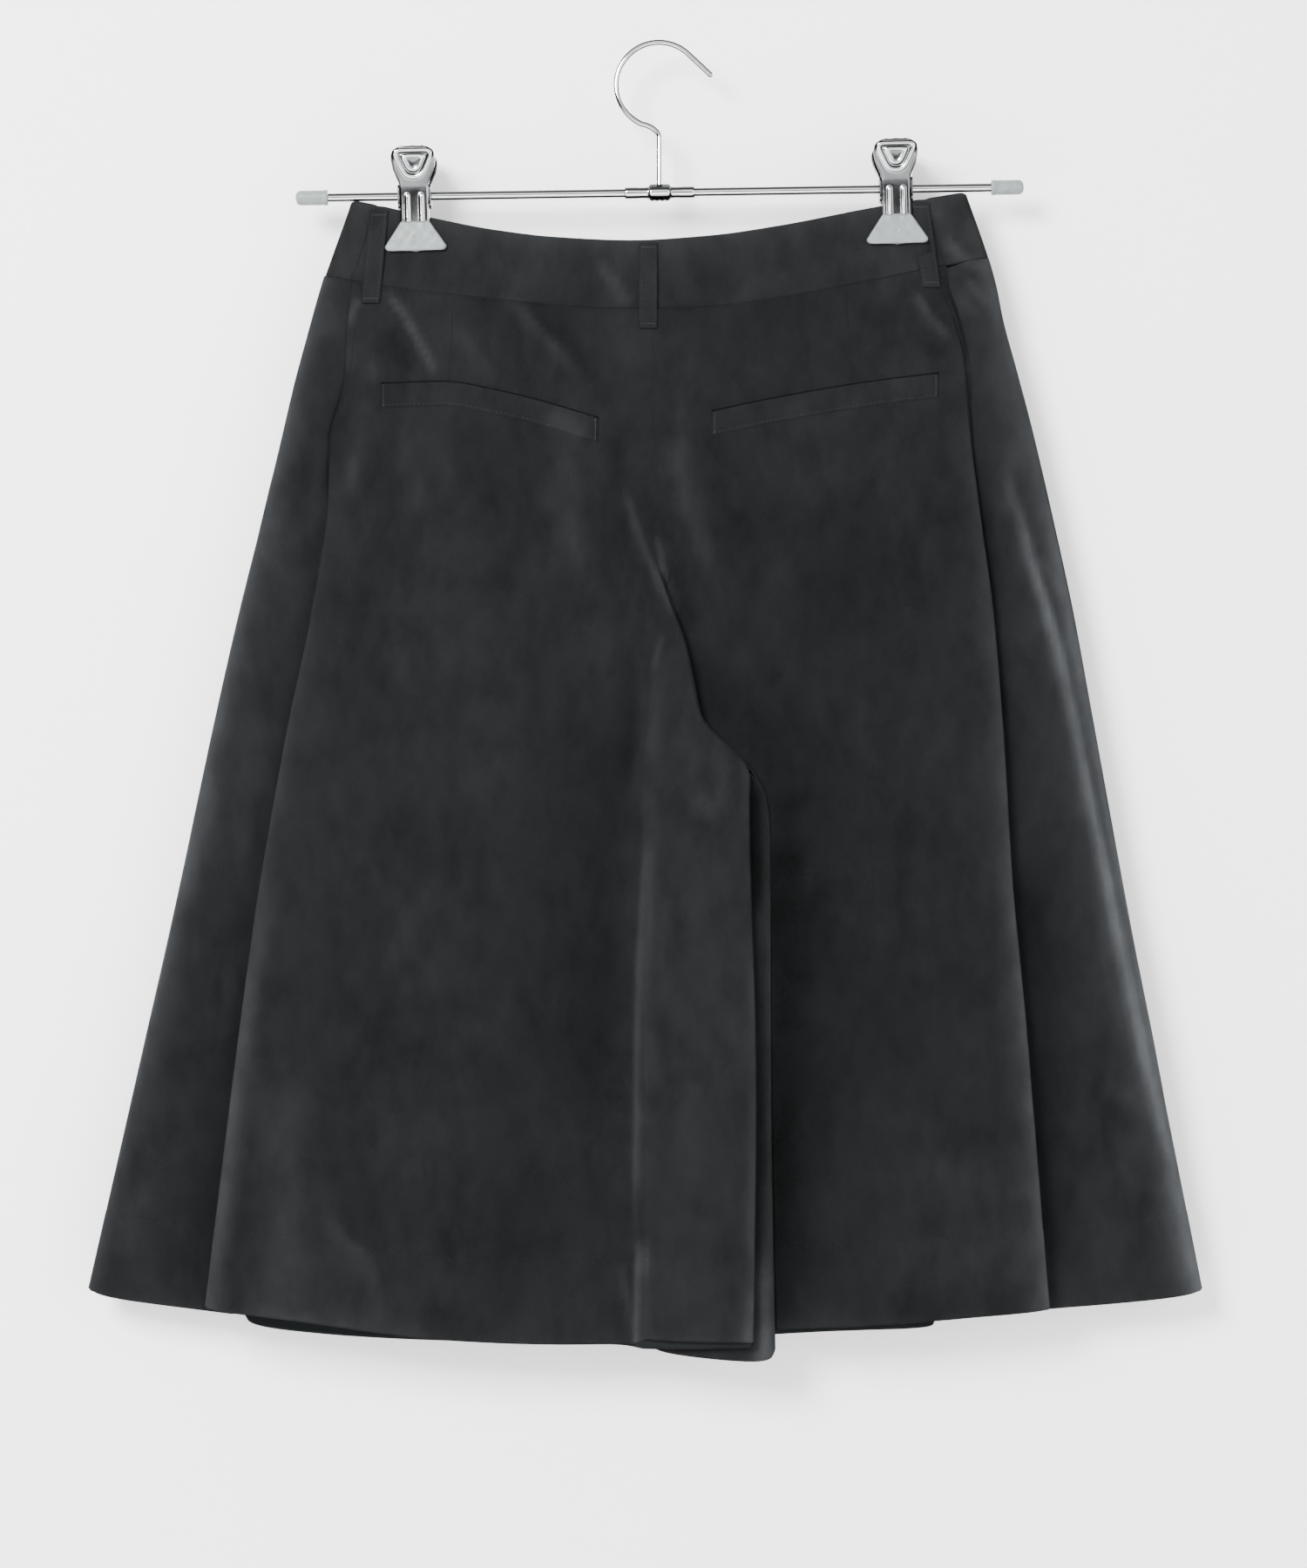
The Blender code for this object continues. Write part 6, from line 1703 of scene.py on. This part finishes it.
def button_thread():
    """Three threads in each of two bars: up through one hole, in an arch, and down through the next."""
    paths = []
    for z in (-HOLE_SPREAD, HOLE_SPREAD):
        for shift in (-THREAD_STEP, 0, THREAD_STEP):
            up, foot = z + shift - BUTTON_LEVEL, BUTTON_LOW - THREAD_FOOT
            arch = []
            for angle in np.radians(np.linspace(0, 180, 13)):
                depth = BUTTON_HIGH - THREAD_SINK + THREAD_ARCH * math.sin(angle)
                arch.append((HOLE_SPREAD * math.cos(angle), depth, up))
            paths.append([(arch[0][0], foot, up), *arch, (arch[-1][0], foot, up)])
    return paths


HOLE_MIDDLE, HOLE_LENGTH, HOLE_WIDTH = -3, 17, 2.6
HOLE_LIFT = 0.12


def buttonhole():
    """Close stitches round the slit in the upper band, from just past the button."""
    slit = []
    for angle in np.radians(np.linspace(0, 360, 49)):
        over, up = (math.copysign(abs(share) ** 0.5, share) for share in (math.cos(angle), math.sin(angle)))
        x, level = HOLE_MIDDLE + HOLE_LENGTH / 2 * over, BUTTON_LEVEL + HOLE_WIDTH / 2 * up
        slit.append((x, outer_depth(ALL_CLOTH, x, level, 1) + HOLE_LIFT, -level))
    return slit


WALLS["waist_button"] = build_button()
lay_cord("button_thread", button_thread(), THREAD, 0.17, sides=6)
lay_cord("buttonhole", [buttonhole()], THREAD, 0.6)

# %% [markdown]
# ## Hanger
#
# A steel rod with a sleeve at its middle, where the hook's wire is crimped in, and with two clips
# that slide along it. Each clip is a pair of pressed plates about the rod: a spring holds their
# lower ends together, and pressing the thumb pieces above opens the soft grips below. The right end
# of the rod hangs a little high, so every piece is placed by the rod's own frame.

# %% Frames of the hanger
BAR_LEVEL = 81.3
BAR_TILT = 0.87  # degrees, the right end higher
CLIP_LEAN = 0.7
CLIP_SPOTS = {"left": -134.8, "right": 129.9}


def leaning(place, degrees):
    return Matrix.Translation(place) @ Matrix.Rotation(math.radians(-degrees), 4, "Y")


BAR = leaning((0, 0, -BAR_LEVEL), BAR_TILT)
CLIPS = {side: BAR @ leaning((spot, 0, 0), CLIP_LEAN) for side, spot in CLIP_SPOTS.items()}

# %% Hook and rod
HOOK_WIRE = 3
HOOK_CENTRE = (-0.4, -22)
HOOK_RADIUS = 23.5
HOOK_TIP = 17
HOOK_ANGLES = (47, 246)
STEM_X, STEM_TOP = -0.2, -51
COLLAR_RADIUS, COLLAR_HALF = 4.7, 5.8
BAR_RADIUS, BAR_HALF = 2.25, 192


def hook_route():
    """The hook wire's middle line: tip, round crown, and a bend into the upright stem."""
    centre_x, centre_z = HOOK_CENTRE
    angles = np.radians(np.linspace(*HOOK_ANGLES, 96))
    crown = [(centre_x + HOOK_RADIUS * math.cos(a), centre_z + HOOK_RADIUS * math.sin(a)) for a in angles]
    (start_x, start_z), (foot_x, foot_z) = crown[0], crown[-1]
    straight = np.linspace(1, 0.1, 6) * HOOK_TIP
    tip = [(start_x + far * math.sin(angles[0]), start_z - far * math.cos(angles[0])) for far in straight]
    bend = []
    for angle in 0.5 * math.pi * np.linspace(0, 1, 17)[1:]:
        down = 0.25 * math.sin(angle) + 0.75 * (1 - math.cos(angle))
        bend.append((blend(foot_x, STEM_X, math.sin(angle)), blend(foot_z, STEM_TOP, down)))
    stem = [(STEM_X, z) for z in np.linspace(STEM_TOP, -BAR_LEVEL + COLLAR_RADIUS - 1.5, 10)[1:]]
    return [(x, 0, z) for x, z in tip + crown + bend + stem]


def tip_bead():
    """The rounded end of the wire."""
    end, before = map(Vector, hook_route()[:2])
    place = Matrix.Translation(end) @ (end - before).to_track_quat("X", "Z").to_matrix().to_4x4()
    half = HOOK_WIRE / 2
    profile = [(-0.6, 0), (-0.6, half)]
    profile += [(half * 0.8 * math.sin(a), half * math.cos(a)) for a in np.radians(np.linspace(0, 80, 7))]
    return turn_piece("hook_tip", [*profile, (half * 0.8, 0)], CHROME, place, sides=24)


def rod_profile():
    ends = [(-BAR_HALF, 0), (-BAR_HALF, BAR_RADIUS)]
    middle = [(x, BAR_RADIUS) for x in np.linspace(-BAR_HALF + 1, BAR_HALF - 1, 40)]
    return [*ends, *middle, (BAR_HALF, BAR_RADIUS), (BAR_HALF, 0)]


EXTRAS["hook_tip"] = tip_bead()
WALLS["hanger_hook"] = grow(
    "hanger_hook_wire", CORD, [hook_route()], CHROME, Radius=HOOK_WIRE / 2 * MM, Sides=24)
WALLS["hanger_bar"] = turn_piece("hanger_bar_rod", rod_profile(), CHROME, BAR)
print("rod length in mm:", 2 * BAR_HALF)

# %% Sleeve and caps
JOINT_RADIUS, JOINT_HALF = 3.1, 19.2
CAP_RADIUS, CAP_START, CAP_LENGTH = 4.2, 182.5, 18
SLIDING = 0.05  # room round the rod
# from the cap's open end: along, and in from its radius
CAP_LIP = ((0, 0.55), (0.25, 0.15), (0.8, 0), (2.2, 0.02), (2.6, 0.22), (3.4, 0.22))


def pressed(along, angle):
    """Four flats from the pressing tool round the collar, and its two lips below."""
    if abs(along) > COLLAR_HALF + 0.2:
        return 1
    flats = 0.055 * math.cos(4 * angle)
    lips = 0.10 * math.exp(-(((angle - 1.5 * math.pi) / 0.45) ** 2)) * math.cos(along * 1.1) ** 2
    return 0.95 + flats - lips


def build_joint():
    """The sleeve round the rod's middle, pinched beside its collar, which was pressed onto the hook."""
    ends, collar = np.linspace(-17.5, -7.2, 12), np.linspace(-COLLAR_HALF + 0.5, 0, 9)
    profile = [(-JOINT_HALF, BAR_RADIUS + SLIDING), (-JOINT_HALF, JOINT_RADIUS - 0.4)]
    profile.append((-JOINT_HALF + 0.5, JOINT_RADIUS))
    profile += [(x, JOINT_RADIUS - 0.16 * math.exp(-(((x + 9.5) / 2.4) ** 2))) for x in ends]
    profile += [(-COLLAR_HALF - 0.4, JOINT_RADIUS + 0.1), (-COLLAR_HALF, COLLAR_RADIUS - 0.7)]
    profile += [(x, COLLAR_RADIUS - 0.25 * (x / COLLAR_HALF) ** 4) for x in collar]
    profile += [(-along, radius) for along, radius in profile[-2::-1]]
    return turn_piece("hanger_joint_sleeve", profile, CHROME, BAR, dent=pressed)


def build_cap(side, out):
    tip = CAP_START + CAP_LENGTH
    bore = BAR_RADIUS + SLIDING
    profile = [(BAR_HALF + 0.3, 0), (BAR_HALF + 0.3, bore), (CAP_START, bore)]
    profile += [(CAP_START + along, CAP_RADIUS - inset) for along, inset in CAP_LIP]
    profile += [(x, CAP_RADIUS - 0.16) for x in np.linspace(CAP_START + 4.2, tip - 3.4, 8)]
    profile += [(tip - 3 + 3 * math.sin(a), 1.1 + (CAP_RADIUS - 1.26) * math.cos(a))
                for a in np.radians(np.linspace(10, 88, 8))]
    turned_out = [(out * along, radius) for along, radius in (*profile, (tip, 0))]
    return turn_piece(f"hanger_cap_{side}_soft", turned_out, SOFT, BAR)


WALLS["hanger_joint"] = build_joint()
for side, out in OUTWARD.items():
    WALLS[f"hanger_cap_{side}"] = build_cap(side, out)

# %% [markdown]
# ## Clips
#
# Each plate is pressed from one sheet: a thumb piece with a rounded triangle ringed by a second
# one, and a neck with two ribs that stop it bending. The pressing is one height field over the
# plate, and the plate's outline is a short table of half widths.

# %% The pressed plate
# height above the rod's axis, half width, depth of the plate's middle
LEVER = ((25.6, 5.5, 11.6), (24.6, 9, 11.4), (22.6, 11.2, 11), (19.4, 11.8, 10.2), (14.6, 11.2, 9),
         (10.4, 9.6, 7.9), (7, 8.2, 6.9), (4, 7.7, 6), (0, 7.7, 5.3), (-7, 7.7, 4.7),
         (-14.6, 7.7, 4.3))
LEVER_PLATE = 0.9
LEVER_HEM = 0.55  # how far its edges are turned in
HEAD_CENTRE = 17.2
RIB_X, RIB_TOP = 3.84, 1.6
# each side of the head's triangle: its outward direction, and its distance from the middle
TRIANGLE = ((0, 1, 7.6), (-0.87, -0.42, 8.6), (0.87, -0.42, 8.6), (0, -1, 9.8))


def lever_at(height):
    """Half width and depth of a lever at some heights."""
    known, widths, depths = zip(*LEVER[::-1])
    return smooth(height, known, widths), smooth(height, known, depths)


def triangle_reach(x, height):
    """How far out a point lies in the head's rounded triangle: 1 on the ring at its outline."""
    up = height - HEAD_CENTRE
    sides = np.stack([(x * way_x + up * way_up) / far for way_x, way_up, far in TRIANGLE])
    return (np.maximum(sides, 0) ** 5).sum(axis=0) ** 0.2


def bump_at(value, centre, width):
    return np.exp(-(((value - centre) / width) ** 2))


def on_neck(x, height, width):
    """The two ribs of the neck."""
    return bump_at(np.abs(x), RIB_X, width) * fade_in(-height, -RIB_TOP, 0.8)


def pressing(x, height):
    """How far the sheet is pressed out, in millimetres."""
    reach = triangle_reach(x, height)
    rings = 0.85 * bump_at(reach, 0.80, 0.115) + 0.75 * bump_at(reach, 0.42, 0.09)
    rings -= 0.35 * bump_at(reach, 0.61, 0.09) + 0.25 * fade_in(-reach, -0.3, 0)
    return rings * fade_in(height, 6, 8.5) + 0.85 * on_neck(x, height, 1.05)


def painted_highlight_lines(x, height, half_width):
    """Painted highlights on the raised lines: both rings, the ribs and the neck's folded edges."""
    reach = triangle_reach(x, height)
    rings = (bump_at(reach, 0.82, 0.12) + bump_at(reach, 0.42, 0.10)) * fade_in(height, 6, 8.5)
    edges = bump_at(np.abs(x) / half_width, 0.95, 0.05) * fade_in(-height, -7, -4)
    return np.clip(rings + on_neck(x, height, 0.9) + 0.7 * edges, 0, 1)


def placed(x, y, z, place):
    """A grid of points, moved into its place."""
    points = np.stack([x, y, z], axis=2).reshape(-1, 3)
    return np.array([place @ Vector(point) for point in points]).reshape(*x.shape, 3)


def lever(side, word, face):
    round_top = 25.6 - 1.6 * (1 - np.cos(np.linspace(0, np.pi / 2, 7)))
    heights = np.concatenate([round_top, np.linspace(23.7, 2.2, 52), np.linspace(1.8, -14.6, 26)])
    spots = np.sin(np.linspace(-np.pi / 2, np.pi / 2, 41)) * 0.35 + np.linspace(-1, 1, 41) * 0.65
    height = np.repeat(heights[:, None], len(spots), axis=1)
    half_width, depth = lever_at(height)
    x = half_width * spots
    y = face * (depth + pressing(x, height) - LEVER_HEM * fade_in(np.abs(spots), 0.86, 1))
    half = LEVER_PLATE / 2
    # the raised lines carry painted highlights
    return shell(f"clip_{side}_{word}_lever_plate", placed(x, y, height, CLIPS[side]), face, half, half,
                 (DULL_CHROME, DULL_CHROME), painted_highlight_lines(x, height, half_width))


# %% Ears
EAR_X = 8.7
EAR_SPAN = (-5.6, 5.6, -7, 6)  # near depth, far depth, bottom, top
EAR_STEPS = 48
EAR_BORE = BAR_RADIUS + 0.3


def ear(side, out):
    """A plate bent forward from the back lever, round the rod, with rounded corners."""
    near, far, bottom, top = EAR_SPAN
    ways = [(math.cos(angle), math.sin(angle)) for angle in 2 * math.pi * np.arange(EAR_STEPS) / EAR_STEPS]
    corners = []
    for x in (out * EAR_X - LEVER_PLATE / 2, out * EAR_X + LEVER_PLATE / 2):
        corners += [(x, EAR_BORE * over, EAR_BORE * up) for over, up in ways]
        for over, up in ways:
            limit_y = (far if over > 0 else -near) / max(abs(over), 1e-6)
            limit_z = (top if up > 0 else -bottom) / max(abs(up), 1e-6)
            radius = (limit_y**-6 + limit_z**-6) ** (-1 / 6)
            corners.append((x, radius * over, radius * up))
    faces = []
    for step in range(EAR_STEPS):
        bore, rim, far_bore, far_rim = range(step, 4 * EAR_STEPS, EAR_STEPS)
        after = range((step + 1) % EAR_STEPS, 4 * EAR_STEPS, EAR_STEPS)
        bore_after, rim_after, far_bore_after, far_rim_after = after
        faces += [(bore, rim, rim_after, bore_after), (far_bore, far_bore_after, far_rim_after, far_rim),
                  (rim, far_rim, far_rim_after, rim_after), (bore, bore_after, far_bore_after, far_bore)]
    name = f"clip_{side}_ear_{'left' if out < 0 else 'right'}"
    return keep(name, closed_mesh(name, corners, faces, CLIPS[side]), DULL_CHROME)


# %% Grips
PAD_TOP, PAD_BOTTOM = -14.9, -30.4
PAD_TOP_HALF, PAD_HALF = 7.8, 16.6
PAD_INNER, PAD_OUTER = 2.9, 5.5
PAD_CORNER = 2.4
PAD_CREST, PAD_FLAT = 0.65, 0.35  # shares of its half thickness: crowned, and at its very edge
DIMPLE = -23


def pad_half_width(height):
    """Half the width of a grip: it widens downwards, and its lower corners are round."""
    share = np.clip((PAD_TOP - height) / (PAD_TOP - PAD_BOTTOM - PAD_CORNER), 0, 1)
    below = PAD_CORNER - np.clip(height - PAD_BOTTOM, 0, PAD_CORNER)
    return blend(PAD_TOP_HALF, PAD_HALF, share) - (PAD_CORNER - np.sqrt(PAD_CORNER**2 - below**2))


def grip(side, word, face):
    """A moulded pad: crowned, with soft edges, a dimple and the ribs showing through at its top."""
    round_foot = PAD_BOTTOM + PAD_CORNER * (1 - np.sin(np.linspace(0, np.pi / 2, 9)[1:]))
    heights = np.concatenate([
        np.linspace(PAD_TOP, PAD_TOP - 1.2, 5), np.linspace(PAD_TOP - 1.8, PAD_BOTTOM + 2.6, 26), round_foot])
    spots = np.sin(np.linspace(-np.pi / 2, np.pi / 2, 45))
    height = np.repeat(heights[:, None], len(spots), axis=1)
    width = pad_half_width(height)
    x = width * spots
    from_ends = np.minimum(PAD_TOP - height, height - PAD_BOTTOM) + 0.2
    inset = np.minimum(width * (1 - np.abs(spots)), from_ends)
    rounded = np.sqrt(np.clip(1 - (1 - np.clip(inset / 1.1, 0, 1)) ** 2, 0, 1))
    crown = (PAD_OUTER - PAD_INNER) / 2 * (PAD_FLAT + PAD_CREST * rounded)
    dimple = np.hypot(x, height - DIMPLE)
    relief = 0.35 * bump_at(np.abs(x), RIB_X, 1.1) * fade_in(height, PAD_TOP - 3.4, PAD_TOP - 1.2)
    relief += 0.14 * bump_at(dimple, 1.7, 0.5) - 0.45 * bump_at(dimple, 0, 0.9)
    relief += 0.10 * np.sin(0.9 * x + 1) * np.sin(0.8 * height)
    middle = np.full(x.shape, face * (PAD_INNER + PAD_OUTER) / 2)
    return shell(f"clip_{side}_{word}_grip_pad", placed(x, middle, height, CLIPS[side]), face,
                 crown + relief * fade_in(inset, 0.3, 1.6), crown, (SOFT, SOFT))


# %% Springs
SPRING_HALF = 6.8
SPRING_MEAN = 3.55
SPRING_RADIUS = 0.85
SPRING_TURNS, TURN_STEPS = 7, 24


def spring_route(side):
    """A coil round the rod, and a leg at each end that pushes a lever's neck outwards."""
    route = [(-SPRING_HALF, -3.9, 7.5), (-SPRING_HALF, -SPRING_MEAN, 4)]
    for share in np.linspace(0, 1, SPRING_TURNS * TURN_STEPS + 1):
        angle = 2 * math.pi * SPRING_TURNS * share + math.pi
        x = blend(-SPRING_HALF, SPRING_HALF, share)
        route.append((x, SPRING_MEAN * math.cos(angle), SPRING_MEAN * math.sin(angle)))
    route += [(SPRING_HALF, -SPRING_MEAN, 4), (SPRING_HALF, -3.9, 7.5)]
    return [CLIPS[side] @ Vector(point) for point in route]


for side in OUTWARD:
    clip = f"clip_{side}"
    for word, face in (("front", -1), ("back", 1)):
        WALLS[f"{clip}_{word}_lever"] = lever(side, word, face)
        WALLS[f"{clip}_{word}_grip"] = grip(side, word, face)
    WALLS[f"{clip}_spring"] = grow(
        f"{clip}_spring_coil", CORD, [spring_route(side)], SPRING, Radius=SPRING_RADIUS * MM, Sides=10)
    for out in (-1, 1):
        piece = ear(side, out)
        EXTRAS[piece.name] = piece
print("clip pieces:", sum(name.startswith("clip") for name in WALLS))

# %% [markdown]
# ## What each piece stands for
#
# Each finished piece hangs with the hanger's one body and takes the place of its plain CAD piece,
# which stays for collision. Panels and bands are sheets of cloth, each with the size of its cut.

# %% Putting the pieces in place
BAND_EASE = 1.02  # a band leans, so its cut is a little deeper than its area over its length


def length_of(line):
    """Length of a row of points, in metres."""
    return float(np.linalg.norm(np.diff(line, axis=0), axis=1).sum()) * MM


def lay_out(name, wide, deep):
    print(name, "cut", round(wide, 3), "x", round(deep, 3), "m, area", round(AREAS[name], 4))


for name, piece in (WALLS | EXTRAS).items():
    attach(piece, "root")
    if name in WALLS:
        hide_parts(name)
for name, points in GRIDS.items():
    lay_out(name, length_of(points[-1]), float(np.ptp(points[:, :, 2])) * MM)
for name, (points, _) in BANDS.items():
    wide = length_of(points[-1])
    lay_out(name, wide, AREAS[name] / wide * BAND_EASE)
